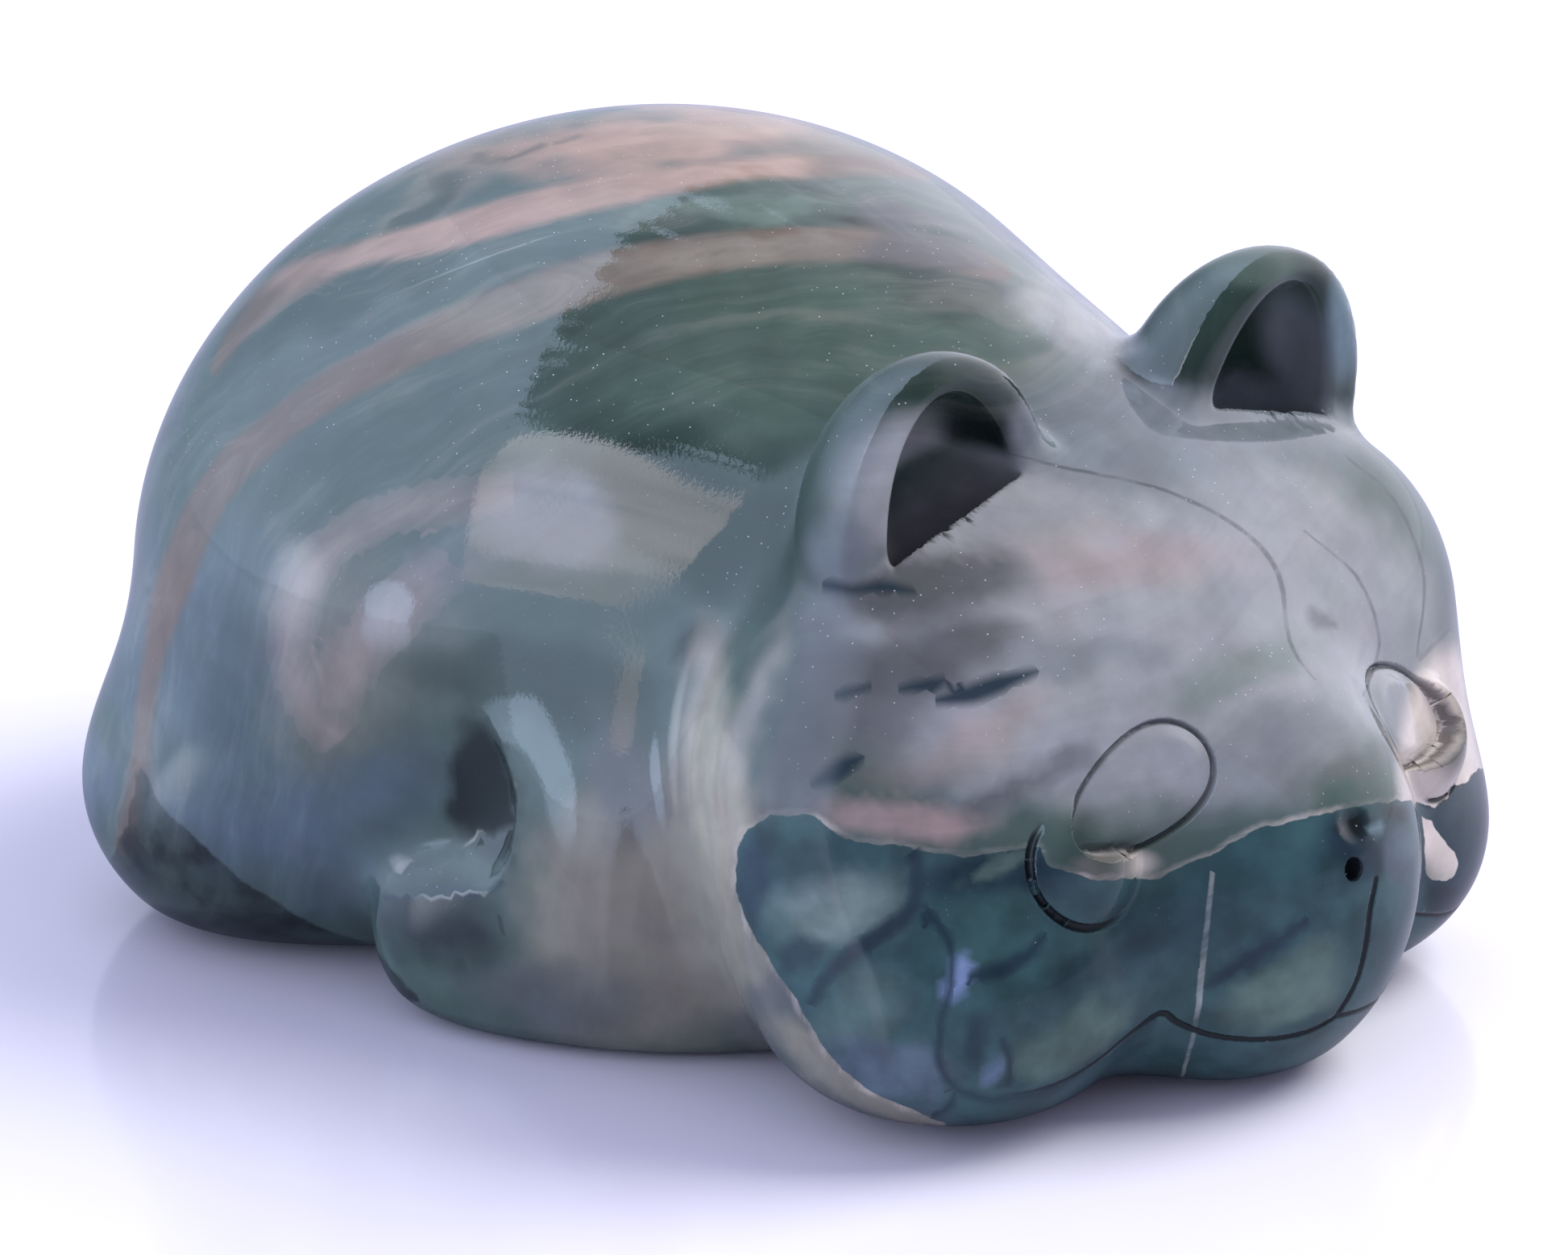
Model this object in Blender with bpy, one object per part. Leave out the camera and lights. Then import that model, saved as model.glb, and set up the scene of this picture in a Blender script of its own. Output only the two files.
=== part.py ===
"""Jade panda carving: a crouching panda cut from one pebble of banded stone and polished all over.

The panda lies on its flat underside and faces -Y, with +X on its own left. The blank is roughed out as
overlapping balls, cut flat below and scooped in the ears, then every point is drawn onto the melted form,
in which the eyes, mouth, nostril and the hollows over the elbows are carved. Metres, +Z up. The origin is
the middle of the underside's rectangle.
"""
import math
from typing import NamedTuple

import bmesh
import bpy
import numpy as np
from mathutils import Matrix, Vector

# Driving size, from rump to nose, and the shares of it in which pose and carving are counted
LENGTH = 0.078
SHARES = 78.0
SHARE = LENGTH / SHARES

# The carver's burrs and drill
MOUTH_BURR = 0.00046
MOUTH_DEPTH = 0.00030
EYE_BURR = 0.00040
EYE_DEPTH = 0.00026
NOSTRIL_DRILL = 0.00118
NOSTRIL_DEPTH = 0.00110

# Fineness of the mesh
BLANK_VOXEL = 0.0007
FORM_VOXEL = 0.0005
CARVED_EDGE = 0.00018
TRIANGLES = 9600

# Middle of the length, measured in shares behind the middle of the shoulders
MIDDLE = 4.305

STONE_COLOUR = (0.095, 0.115, 0.105, 1.0)
STONE_ROUGHNESS = 0.08


class Mass(NamedTuple):
    """One rounded mass, an ellipsoid in shares; the turns are degrees and blend is its melting width."""
    centre: tuple
    radii: tuple
    pitch: float = 0.0
    yaw: float = 0.0
    roll: float = 0.0
    blend: float = 0.0


# Body, head and ears; a mass off the middle is the near one of a mirrored pair
TORSO = Mass((0.0, 16.74, 18.67), (28.18, 26.72, 23.65), pitch=-13.51)
NAPE = Mass((0.0, -5.28, 17.58), (18.62, 17.71, 18.50), blend=9.0)
HAUNCH = Mass((-17.79, 26.26, 7.56), (10.89, 11.51, 9.22), yaw=-20.55, blend=5.0)
UPPER_ARM = Mass((-16.47, 0.53, 9.51), (8.28, 8.49, 9.97), yaw=20.03, blend=6.0)
FORELEG = Mass((-17.90, 0.86, 4.81), (5.80, 13.41, 8.38), yaw=30.07, blend=2.5)
TAIL = Mass((0.0, 38.5, 6.9), (4.3, 4.3, 4.5), blend=1.6)
SKULL = Mass((0.0, -12.66, 15.15), (19.57, 14.74, 17.38), pitch=11.58)
TEMPLE = Mass((-15.12, -16.24, 17.60), (10.08, 7.78, 10.32), blend=9.0)
CHEEK = Mass((-14.20, -18.75, 6.99), (9.68, 9.36, 7.25), blend=7.0)
MUZZLE = Mass((0.0, -24.28, 10.26), (10.34, 10.35, 11.81), pitch=11.20, blend=3.5)
EAR = Mass((-12.30, -15.27, 29.69), (7.96, 5.94, 9.34), pitch=6.75, yaw=5.26, roll=-16.53, blend=1.5)
EAR_SCOOP = Mass((-12.00, -17.11, 29.29), (4.90, 4.70, 8.10), pitch=6.75, yaw=5.26, roll=-16.53, blend=0.8)
BODY = (NAPE, HAUNCH, UPPER_ARM, FORELEG, TAIL)
HEAD = (TEMPLE, CHEEK, MUZZLE)
NECK_BLEND = 3.5
FLOOR_ROUND = 2.0

# Flat front of the ears, behind which the scoop is cut
EAR_FRONT = (-12.30, -17.06, 30.0)
EAR_FRONT_PITCH = 3.75
EAR_FRONT_YAW = 0.37
EAR_RIM_ROUND = 1.0
SCOOP_SETBACK = 0.1
SCOOP_EDGE = 0.3
SCOOP_OPENING = 0.25

# Face lines as (x, z, strength), dropped on the face from the front
PHILTRUM = ((-0.1, 12.4, 0.4), (-0.6, 10.9, 1.0), (-0.7, 9.1, 1.0), (-0.8, 6.9, 1.0), (-1.3, 4.9, 1.0))
LIP = ((-1.3, 4.9, 1.0), (-2.7, 4.35, 1.0), (-4.8, 4.25, 1.0), (-7.0, 4.65, 1.0), (-8.7, 5.6, 0.9),
       (-9.7, 6.35, 0.75), (-10.9, 5.7, 0.4), (-12.4, 5.1, 0.28), (-16.4, 4.0, 0.22), (-20.4, 4.2, 0.0))
LINE_STEP = 0.3

# Nostril, and the dimple over it
NOSTRIL = (-1.6, 13.3)
NOSTRIL_AIM = (-0.10, -0.93, 0.36)
DIMPLE = (-1.1, 15.4)
DIMPLE_RADIUS = 1.1
DIMPLE_DEPTH = 0.35

# Eyes: a flat lid over a ball that a round groove frees below
LID_LONG = 4.6
LID_SHORT = 2.6
LID_RISE = 19.0
LID_LIFT = 0.12
LID_BEVEL = 1.1
BALL_RADIUS = 4.3
BALL_SHOWS = 3.15
BALL_LIFT = 0.35
BALL_GROOVE = (138.0, 318.0)
BALL_GROOVE_WIDER = 1.4

# Hollow over the elbow: its floor line as (y, z), ledge, wall behind the upper arm and depth
HOLLOW_TIP = (11.2, 7.4)
HOLLOW_END = (3.0, 12.4)
LEDGE_WIDTH = (0.35, 3.45)
HOLLOW_HEIGHT = 6.5
HOLLOW_DEPTH = 1.35
ARM_WALL = (1.3, 13.2, 0.085)
ARM_WALL_WIDTH = 1.5
HOLLOW_REACH = ((-3.0, 16.0), (4.0, 24.0))
FLANK = -20.0


class Eye(NamedTuple):
    """One eye's places as (x, z) on the face: the middle of the lid, and of the ball."""
    lid: tuple
    ball: tuple


EYES = (Eye((-10.25, 17.95), (-13.6, 15.1)), Eye((11.1, 16.4), (13.9, 14.4)))


def clear_scene():
    """Start from an empty scene."""
    for item in list(bpy.data.objects):
        bpy.data.objects.remove(item, do_unlink=True)


def turn_matrix(pitch, yaw, roll):
    """Turn by roll about Y, then pitch about X, then yaw about Z, in degrees."""
    turned = Matrix.Rotation(math.radians(yaw), 3, "Z")
    turned = turned @ Matrix.Rotation(math.radians(pitch), 3, "X")
    return turned @ Matrix.Rotation(math.radians(roll), 3, "Y")


def smooth_step(value):
    """Ease from 0 to 1 over the value's own 0 to 1."""
    value = np.clip(value, 0.0, 1.0)
    return value * value * (3.0 - 2.0 * value)


def melt(first, second, width):
    """Join two distances, rounding the valley between them over width."""
    share = np.clip(0.5 + 0.5 * (second - first) / width, 0.0, 1.0)
    return second * (1.0 - share) + first * share - width * share * (1.0 - share)


def carve(first, second, width):
    """Keep what lies inside both distances, rounding the edge between them over width."""
    return -melt(-first, -second, width)


def ellipsoid(points, mass):
    """Distance of points from a mass, in shares, below 0 inside it."""
    local = (points - np.array(mass.centre)) @ np.array(turn_matrix(mass.pitch, mass.yaw, mass.roll))
    scaled = local / np.array(mass.radii)
    steep = scaled / np.array(mass.radii)
    reach = np.sqrt(np.einsum("ij,ij->i", scaled, scaled)) + 1e-9
    slope = np.sqrt(np.einsum("ij,ij->i", steep, steep)) + 1e-9
    return reach * (reach - 1.0) / slope


def mirrored(points):
    """Points moved to the near side, where the paired masses are."""
    near = points.copy()
    near[:, 0] = -np.abs(near[:, 0])
    return near


def melted(points, near, first, rest):
    """One mass with others melted to it; those off the middle are pairs."""
    field = ellipsoid(points, first)
    for mass in rest:
        field = melt(field, ellipsoid(near if mass.centre[0] else points, mass), mass.blend)
    return field


def before_ear(near):
    """Distance of near-side points before the plane of the ear's front."""
    front = turn_matrix(EAR_FRONT_PITCH, EAR_FRONT_YAW, 0.0) @ Vector((0.0, -1.0, 0.0))
    return (near - np.array(EAR_FRONT)) @ np.array(front)


def form(points):
    """Distance from the panda's form before its fine carving, in shares."""
    near = mirrored(points)
    whole = melt(melted(points, near, TORSO, BODY), melted(points, near, SKULL, HEAD), NECK_BLEND)
    before = before_ear(near)
    whole = melt(whole, carve(ellipsoid(near, EAR), before, EAR_RIM_ROUND), EAR.blend)
    scoop = carve(ellipsoid(near, EAR_SCOOP), before + SCOOP_SETBACK, SCOOP_EDGE)
    whole = carve(whole, -scoop, EAR_SCOOP.blend)
    return carve(whole, -points[:, 2], FLOOR_ROUND)


def slope_of(field, points, here=None, step=0.004):
    """The field's gradient at points, by a small step along each axis."""
    if here is None:
        here = field(points)
    return np.stack([field(points + ahead) - here for ahead in np.eye(3) * step], 1) / step


def on_face(x, z):
    """Points of the uncarved face at the given x and z, reached from the front."""
    points = np.stack([np.array(x, float), np.full(len(x), -0.6 * SHARES), np.array(z, float)], 1)
    for _ in range(60):
        points[:, 1] += 0.9 * np.maximum(form(points), 0.0)
    return points


def curve_through(knots, step):
    """Points about step apart on a smooth curve through knots."""
    knots = np.array(knots, float)
    ends = np.vstack([2 * knots[0] - knots[1], knots, 2 * knots[-1] - knots[-2]])
    stretches = []
    for a, b, c, d in zip(ends[:-3], ends[1:-2], ends[2:-1], ends[3:]):
        count = max(2, math.ceil(np.linalg.norm((c - b)[:2]) / step))
        t = np.linspace(0.0, 1.0, count, endpoint=False)[:, None]
        bend = (2 * a - 5 * b + 4 * c - d) * t ** 2 + (3 * b - a - 3 * c + d) * t ** 3
        stretches.append(0.5 * (2 * b + (c - a) * t + bend))
    return np.vstack(stretches + [knots[-1:]])


class Groove:
    """A line cut in the face with a burr, along (x, z, strength) knots."""

    def __init__(self, knots, burr, depth):
        route = curve_through(knots, LINE_STEP)
        self.points = on_face(route[:, 0], route[:, 1])
        self.strength = np.clip(route[:, 2], 0.0, 1.0)
        self.half = 0.5 * burr / SHARE
        self.depth = depth / SHARE

    def within(self, points, margin):
        """Indices of the points in the line's box, widened by margin."""
        low = self.points.min(0) - margin
        high = self.points.max(0) + margin
        return np.where(np.all((points > low) & (points < high), axis=1))[0]

    def nearest(self, points):
        """Distance of points from the line, and its strength beside them."""
        distance = np.full(len(points), np.inf)
        strength = np.zeros(len(points))
        for i, (start, end) in enumerate(zip(self.points[:-1], self.points[1:])):
            run = end - start
            t = np.clip((points - start) @ run / (run @ run), 0.0, 1.0)
            away = np.linalg.norm(points - start - t[:, None] * run, axis=1)
            here = self.strength[i] * (1.0 - t) + self.strength[i + 1] * t
            strength = np.where(away < distance, here, strength)
            distance = np.minimum(away, distance)
        return distance, strength

    def cut(self, points):
        """Depth of stone that the burr takes at points."""
        depth = np.zeros(len(points))
        near = self.within(points, 2.0 * self.half)
        if len(near):
            distance, strength = self.nearest(points[near])
            across = np.clip(distance / self.half, 0.0, 1.0)
            depth[near] = strength * self.depth * (1.0 - across ** 2) ** 1.5
        return depth


class CarvedEye:
    """The lid's facet with its line, and the ball in its groove."""

    def __init__(self, eye):
        side = math.copysign(1.0, eye.lid[0])
        self.find_facet(eye.lid, side)
        self.find_ball(eye.ball)
        self.groove = Groove(self.groove_knots(eye.ball, side), EYE_BURR * BALL_GROOVE_WIDER, EYE_DEPTH * 2.0)
        self.reach = 2.2 * LID_LONG

    def find_facet(self, lid, side):
        """Lay the lid's plane through the ring where its line is cut."""
        turns = np.linspace(0.0, 2.0 * math.pi, 24, endpoint=False)
        rise = math.radians(LID_RISE)
        along, across = LID_LONG * np.cos(turns), LID_SHORT * np.sin(turns)
        x = lid[0] - side * (along * math.cos(rise) - across * math.sin(rise))
        z = lid[1] + along * math.sin(rise) + across * math.cos(rise)
        ring = on_face(x, z)
        self.centre = ring.mean(0)
        self.normal = np.linalg.svd(ring - self.centre)[2][2]
        self.normal *= -np.sign(self.normal[1])
        level = np.array([-side, 0.0, 0.0])
        level -= self.normal * (level @ self.normal)
        level /= np.linalg.norm(level)
        upward = np.cross(self.normal, level)
        upward *= np.sign(upward[2])
        self.along = math.cos(rise) * level + math.sin(rise) * upward
        self.across = math.cos(rise) * upward - math.sin(rise) * level

    def find_ball(self, place):
        """Sink a ball behind the face until it shows as a cap."""
        offsets = np.array([(0.0, 0.0), (1.0, 0.0), (-1.0, 0.0), (0.0, 1.0), (0.0, -1.0)]) * 2.0
        around = on_face(place[0] + offsets[:, 0], place[1] + offsets[:, 1])
        normal = slope_of(form, around).mean(0)
        normal /= np.linalg.norm(normal)
        sunk = math.sqrt(BALL_RADIUS ** 2 - BALL_SHOWS ** 2) - BALL_LIFT
        self.ball = around[0] - normal * sunk

    def groove_knots(self, place, side):
        """The groove's arc round the ball's outer and lower side, fading at its inner end."""
        turns = np.linspace(*BALL_GROOVE, 13)
        strength = smooth_step(np.minimum(np.arange(13) * 0.3 + 0.3, (12 - np.arange(13)) / 4.5))
        x = place[0] - side * BALL_SHOWS * np.cos(np.radians(turns))
        z = place[1] + BALL_SHOWS * np.sin(np.radians(turns))
        return np.stack([x, z, strength], 1)

    def apply(self, field, points):
        """Carve the eye into the field at points."""
        near = np.where(np.linalg.norm(points - self.centre, axis=1) < self.reach)[0]
        if not len(near):
            return field
        here, base = points[near], field[near]
        carved = melt(base, np.linalg.norm(here - self.ball, axis=1) - BALL_RADIUS, 0.25)
        carved = carved + self.groove.cut(here)
        local = here - self.centre
        a, b, height = local @ self.along, local @ self.across, local @ self.normal
        reach = np.hypot(a / LID_LONG, b / LID_SHORT) + 1e-9
        slope = np.hypot(a / LID_LONG ** 2, b / LID_SHORT ** 2) / reach + 1e-9
        outside = np.where(reach > 0.3, (reach - 1.0) / slope, -LID_SHORT)
        flat = smooth_step(-outside / LID_BEVEL)
        lid = base * (1.0 - flat) + (height - LID_LIFT) * flat
        on_lid = smooth_step(0.5 - outside / 0.3) * (np.abs(height) < 3.0)
        carved = carved * (1.0 - on_lid) + lid * on_lid
        ring = np.clip(np.abs(outside) * SHARE / (0.5 * EYE_BURR), 0.0, 1.0)
        carved = carved + EYE_DEPTH / SHARE * (1.0 - ring ** 2) ** 1.5 * (np.abs(height) < 3.0)
        result = field.copy()
        result[near] = carved
        return result


def elbow_hollow(points):
    """Depth of the hollow behind each upper arm, over the elbow's ledge."""
    near = mirrored(points)
    depth = np.zeros(len(points))
    (y_low, y_high), (z_low, z_high) = HOLLOW_REACH
    y, z = near[:, 1], near[:, 2]
    chosen = (near[:, 0] < FLANK) & (y > y_low) & (y < y_high) & (z > z_low) & (z < z_high)
    y, z = y[chosen], z[chosen]
    run = np.subtract(HOLLOW_END, HOLLOW_TIP)
    length = np.hypot(*run)
    run = run / length
    along = ((y - HOLLOW_TIP[0]) * run[0] + (z - HOLLOW_TIP[1]) * run[1]) / length
    below = (z - HOLLOW_TIP[1]) * run[0] - (y - HOLLOW_TIP[0]) * run[1]
    ledge = np.interp(along, (0.0, 1.0), LEDGE_WIDTH)
    floor = np.clip(1.0 - below / ledge, 0.0, 1.0)
    roof = (1.0 - np.clip(-below / HOLLOW_HEIGHT, 0.0, 1.0) ** 2) ** 2
    wall = ARM_WALL[0] + ARM_WALL[2] * (z - ARM_WALL[1]) ** 2
    behind = smooth_step((y - wall) / ARM_WALL_WIDTH)
    depth[chosen] = HOLLOW_DEPTH * smooth_step(1.1 * along + 0.08) * np.where(below > 0.0, floor, roof) * behind
    return depth


class Carving:
    """The whole carving's field: the form with every line, eye and hollow cut in it."""

    def __init__(self):
        far_lip = [LIP[0]] + [(-x, z, strength) for x, z, strength in LIP[1:]]
        self.lines = [Groove(knots, MOUTH_BURR, MOUTH_DEPTH) for knots in (PHILTRUM, LIP, far_lip)]
        self.eyes = [CarvedEye(eye) for eye in EYES]
        self.nostril, self.dimple = on_face(*zip(NOSTRIL, DIMPLE))
        self.aim = np.array(Vector(NOSTRIL_AIM).normalized())

    def nostril_hole(self, points):
        """Depth of the drilled nostril at points."""
        local = points - self.nostril
        along = local @ self.aim
        away = np.linalg.norm(local - along[:, None] * self.aim, axis=1)
        across = np.clip(away * SHARE / (0.5 * NOSTRIL_DRILL), 0.0, 1.0)
        reached = np.abs(along) * SHARE < 2.0 * NOSTRIL_DEPTH
        return NOSTRIL_DEPTH / SHARE * np.sqrt(1.0 - across ** 2) * reached

    def field(self, points):
        """Distance of points from the carving, in shares."""
        field = form(points) + elbow_hollow(points)
        for eye in self.eyes:
            field = eye.apply(field, points)
        for line in self.lines:
            field = field + line.cut(points)
        away = np.clip(np.linalg.norm(points - self.dimple, axis=1) / DIMPLE_RADIUS, 0.0, 1.0)
        return field + self.nostril_hole(points) + DIMPLE_DEPTH * (1.0 - away ** 2) ** 2

    def detail_distance(self, points):
        """Distance of points from the nearest fine cut, in shares."""
        nearest = np.full(len(points), np.inf)
        for line in self.lines + [eye.groove for eye in self.eyes]:
            chosen = line.within(points, 2.0)
            if len(chosen):
                nearest[chosen] = np.minimum(nearest[chosen], line.nearest(points[chosen])[0])
        for eye in self.eyes:
            local = points - eye.centre
            reach = np.hypot(local @ eye.along / LID_LONG, local @ eye.across / LID_SHORT)
            away = np.abs(reach - 1.0) * LID_SHORT + 9.0 * (np.abs(local @ eye.normal) > 2.0)
            nearest = np.minimum(nearest, away)
        hole = np.linalg.norm(points - self.nostril, axis=1) - 0.5 * NOSTRIL_DRILL / SHARE
        near = mirrored(points)
        mouth = np.hypot(before_ear(near), np.maximum(ellipsoid(near, EAR_SCOOP), 0.0))
        return np.minimum(np.minimum(nearest, np.abs(hole)), mouth)


def add_ball(mesh, mass, side, front_cut=None):
    """Add a mass to a mesh as a ball, mirrored where side is -1, cut off front_cut before the ear's front."""
    place = Matrix.Diagonal((side, 1.0, 1.0, 1.0)) @ Matrix.Translation(Vector(mass.centre) * SHARE)
    place = place @ turn_matrix(mass.pitch, mass.yaw, mass.roll).to_4x4()
    place = place @ Matrix.Diagonal([r * SHARE for r in mass.radii] + [1.0])
    made = bmesh.ops.create_icosphere(mesh, subdivisions=4, radius=1.0, matrix=place)
    if front_cut is not None:
        front = turn_matrix(EAR_FRONT_PITCH, EAR_FRONT_YAW, 0.0) @ Vector((0.0, -1.0, 0.0))
        flip = Matrix.Diagonal((side, 1.0, 1.0))
        faces = {face for vert in made["verts"] for face in vert.link_faces}
        edges = {edge for vert in made["verts"] for edge in vert.link_edges}
        cut = bmesh.ops.bisect_plane(mesh, geom=list(made["verts"]) + list(edges) + list(faces),
                                     plane_co=flip @ (Vector(EAR_FRONT) + front * front_cut) * SHARE,
                                     plane_no=flip @ front, clear_outer=True)
        rim = [item for item in cut["geom_cut"] if isinstance(item, bmesh.types.BMEdge)]
        bmesh.ops.edgeloop_fill(mesh, edges=rim)


def object_from(mesh, name):
    """Turn an edited mesh into an object of the scene, its faces facing out."""
    bmesh.ops.recalc_face_normals(mesh, faces=mesh.faces)
    data = bpy.data.meshes.new(name)
    mesh.to_mesh(data)
    mesh.free()
    item = bpy.data.objects.new(name, data)
    bpy.context.collection.objects.link(item)
    return item


def blank_object():
    """The blank: every ball of the body, head and ears in one mesh."""
    mesh = bmesh.new()
    for mass in (TORSO, SKULL) + BODY + HEAD:
        for side in (1.0, -1.0) if mass.centre[0] else (1.0,):
            add_ball(mesh, mass, side)
    for side in (1.0, -1.0):
        add_ball(mesh, EAR, side, 0.0)
    return object_from(mesh, "blank")


def floor_cutter():
    """A block whose top is the plane that the panda lies on."""
    mesh = bmesh.new()
    bmesh.ops.create_cube(mesh, size=2.0 * LENGTH, matrix=Matrix.Translation((0.0, 0.0, -LENGTH)))
    return object_from(mesh, "floor_cutter")


def scoop_cutter(side):
    """The burr's ball that hollows one ear."""
    mesh = bmesh.new()
    add_ball(mesh, EAR_SCOOP, side, SCOOP_OPENING)
    return object_from(mesh, "scoop_cutter")


def add_voxels(item, name, size):
    """Merge an object's overlapping balls into one even skin."""
    skin = item.modifiers.new(name, "REMESH")
    skin.mode = "VOXEL"
    skin.voxel_size = size


def roughed_mesh():
    """The blank merged into one skin, cut flat below and scooped in the ears."""
    blank = blank_object()
    add_voxels(blank, "merge", BLANK_VOXEL)
    cutters = [floor_cutter(), scoop_cutter(1.0), scoop_cutter(-1.0)]
    for cutter in cutters:
        cutter.hide_render = True
        cutter.display_type = "WIRE"
        cut = blank.modifiers.new("cut", "BOOLEAN")
        cut.operation = "DIFFERENCE"
        cut.solver = "EXACT"
        cut.object = cutter
    add_voxels(blank, "skin", FORM_VOXEL)
    bpy.context.view_layer.update()
    evaluated = blank.evaluated_get(bpy.context.evaluated_depsgraph_get())
    mesh = bmesh.new()
    mesh.from_mesh(evaluated.to_mesh())
    for item in [blank] + cutters:
        bpy.data.objects.remove(item, do_unlink=True)
    return mesh


def places(mesh):
    """A mesh's vertex places, in shares."""
    return np.array([vert.co for vert in mesh.verts], float) / SHARE


def put_places(mesh, points):
    """Move a mesh's vertices to places given in shares."""
    for vert, place in zip(mesh.verts, points * SHARE):
        vert.co = place


def draw_onto(field, points, rounds):
    """Move points along the field's slope until they lie on its surface."""
    for _ in range(rounds):
        here = field(points)
        slope = slope_of(field, points, here)
        steep = np.maximum((slope ** 2).sum(1), 0.25)
        step = here[:, None] * slope / steep[:, None]
        size = np.linalg.norm(step, axis=1, keepdims=True) + 1e-12
        points = points - step * np.minimum(1.0, 1.0 / size)
    return points


def relaxed(points, edges, field, amount):
    """Even out the spacing of points by sliding them along the surface towards their neighbours."""
    total = np.zeros_like(points)
    count = np.zeros(len(points))
    for one, other in ((edges[:, 0], edges[:, 1]), (edges[:, 1], edges[:, 0])):
        for axis in range(3):
            total[:, axis] += np.bincount(one, points[other, axis], len(points))
        count += np.bincount(one, minlength=len(points))
    pull = total / count[:, None] - points
    normal = slope_of(field, points)
    normal /= np.linalg.norm(normal, axis=1, keepdims=True) + 1e-9
    return points + amount * (pull - normal * (pull * normal).sum(1, keepdims=True))


def settle(mesh, field, rounds, amount):
    """Draw a mesh's vertices onto the field's surface, evenly spaced."""
    points = places(mesh)
    mesh.verts.index_update()
    edges = np.array([[vert.index for vert in edge.verts] for edge in mesh.edges])
    points = draw_onto(field, points, 3)
    for _ in range(rounds):
        points = draw_onto(field, relaxed(points, edges, field, amount), 2)
    put_places(mesh, points)


def refine(mesh, carving):
    """Halve the edges beside the fine cuts until they are short enough to show them."""
    for reach, edge_length in ((1.6, 2.6 * CARVED_EDGE), (0.8, 1.5 * CARVED_EDGE), (0.5, CARVED_EDGE)):
        middles = np.array([(edge.verts[0].co + edge.verts[1].co) / 2 for edge in mesh.edges]) / SHARE
        lengths = np.array([edge.calc_length() for edge in mesh.edges])
        chosen = (carving.detail_distance(middles) < reach) & (lengths > edge_length)
        halved = [edge for edge, wanted in zip(mesh.edges, chosen) if wanted]
        bmesh.ops.subdivide_edges(mesh, edges=halved, cuts=1)
        bmesh.ops.triangulate(mesh, faces=mesh.faces)
        settle(mesh, carving.field, 1, 0.4)


def level_underside(mesh):
    """Put what the field leaves within a hair of the floor exactly on it."""
    for vert in mesh.verts:
        if vert.co.z < 0.002 * SHARE:
            vert.co.z = 0.0


def stone_material():
    """Polished green, grey and pinkish-beige banded stone."""
    stone = bpy.data.materials.new("polished_banded_stone")
    stone.use_nodes = True
    shader = stone.node_tree.nodes["Principled BSDF"]
    shader.inputs["Base Color"].default_value = STONE_COLOUR
    shader.inputs["Roughness"].default_value = STONE_ROUGHNESS
    shader.inputs["Metallic"].default_value = 0.0
    return stone


def panda_carving():
    """Carve the panda and thin its mesh where it is smooth."""
    mesh = roughed_mesh()
    settle(mesh, form, 3, 0.5)
    bmesh.ops.triangulate(mesh, faces=mesh.faces)
    carving = Carving()
    settle(mesh, carving.field, 2, 0.5)
    refine(mesh, carving)
    level_underside(mesh)
    bmesh.ops.translate(mesh, verts=mesh.verts, vec=(0.0, -MIDDLE * SHARE, 0.0))
    full = len(mesh.faces)
    panda = object_from(mesh, "panda_carving")
    thin = panda.modifiers.new("thin", "DECIMATE")
    thin.decimate_type = "COLLAPSE"
    thin.ratio = min(1.0, TRIANGLES / full)
    panda.data.shade_smooth()
    panda.data.materials.append(stone_material())
    return panda


def main():
    """Build the part."""
    clear_scene()
    panda_carving()


main()
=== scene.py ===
"""Jade panda carving, dressed for its picture.

One crouching panda, cut from a pebble of banded green, grey and pinkish-beige stone and polished all over.
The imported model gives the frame: +Z up from the flat underside, -Y the way the face looks, +X the panda's left.
The carving is roughed out of overlapping balls, drawn onto its smooth form and cut with the carver's burrs,
and its markings are laid through the stone along the line from which the picture was taken.
"""

import logging
import math
from dataclasses import dataclass, field
from enum import Enum
from typing import Callable, ClassVar, Optional, Union

import bpy
import numpy as np
from mathutils import Matrix, Vector, noise


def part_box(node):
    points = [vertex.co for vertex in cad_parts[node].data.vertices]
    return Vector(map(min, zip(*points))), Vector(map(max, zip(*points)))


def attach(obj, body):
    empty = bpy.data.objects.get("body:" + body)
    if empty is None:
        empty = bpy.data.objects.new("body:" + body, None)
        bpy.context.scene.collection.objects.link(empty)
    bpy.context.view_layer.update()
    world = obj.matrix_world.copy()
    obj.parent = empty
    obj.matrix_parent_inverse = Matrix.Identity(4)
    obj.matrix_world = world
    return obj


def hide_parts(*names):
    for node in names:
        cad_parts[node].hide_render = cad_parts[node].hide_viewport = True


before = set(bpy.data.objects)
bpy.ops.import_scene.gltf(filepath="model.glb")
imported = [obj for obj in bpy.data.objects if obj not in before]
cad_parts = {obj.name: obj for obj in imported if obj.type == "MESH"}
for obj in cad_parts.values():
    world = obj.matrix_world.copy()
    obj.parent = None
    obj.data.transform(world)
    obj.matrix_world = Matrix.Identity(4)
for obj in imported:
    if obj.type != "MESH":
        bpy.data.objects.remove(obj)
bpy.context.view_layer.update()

LOG = logging.getLogger("panda")
MM = 0.001
NODE = "panda_carving"
FAR_AWAY = 99.0
TINY = 1e-9
BURR_PROFILE = 1.5

Points = np.ndarray
Field = Callable[[Points], np.ndarray]


class Side(Enum):
    """Which of a mirrored pair: the one nearer to the camera, or the one behind."""

    NEAR = 1.0
    FAR = -1.0


def smooth_step(value: Points) -> Points:
    """Ease from 0 to 1 over the value's own 0 to 1."""
    value = np.clip(value, 0.0, 1.0)
    return value * value * (3.0 - 2.0 * value)


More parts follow.
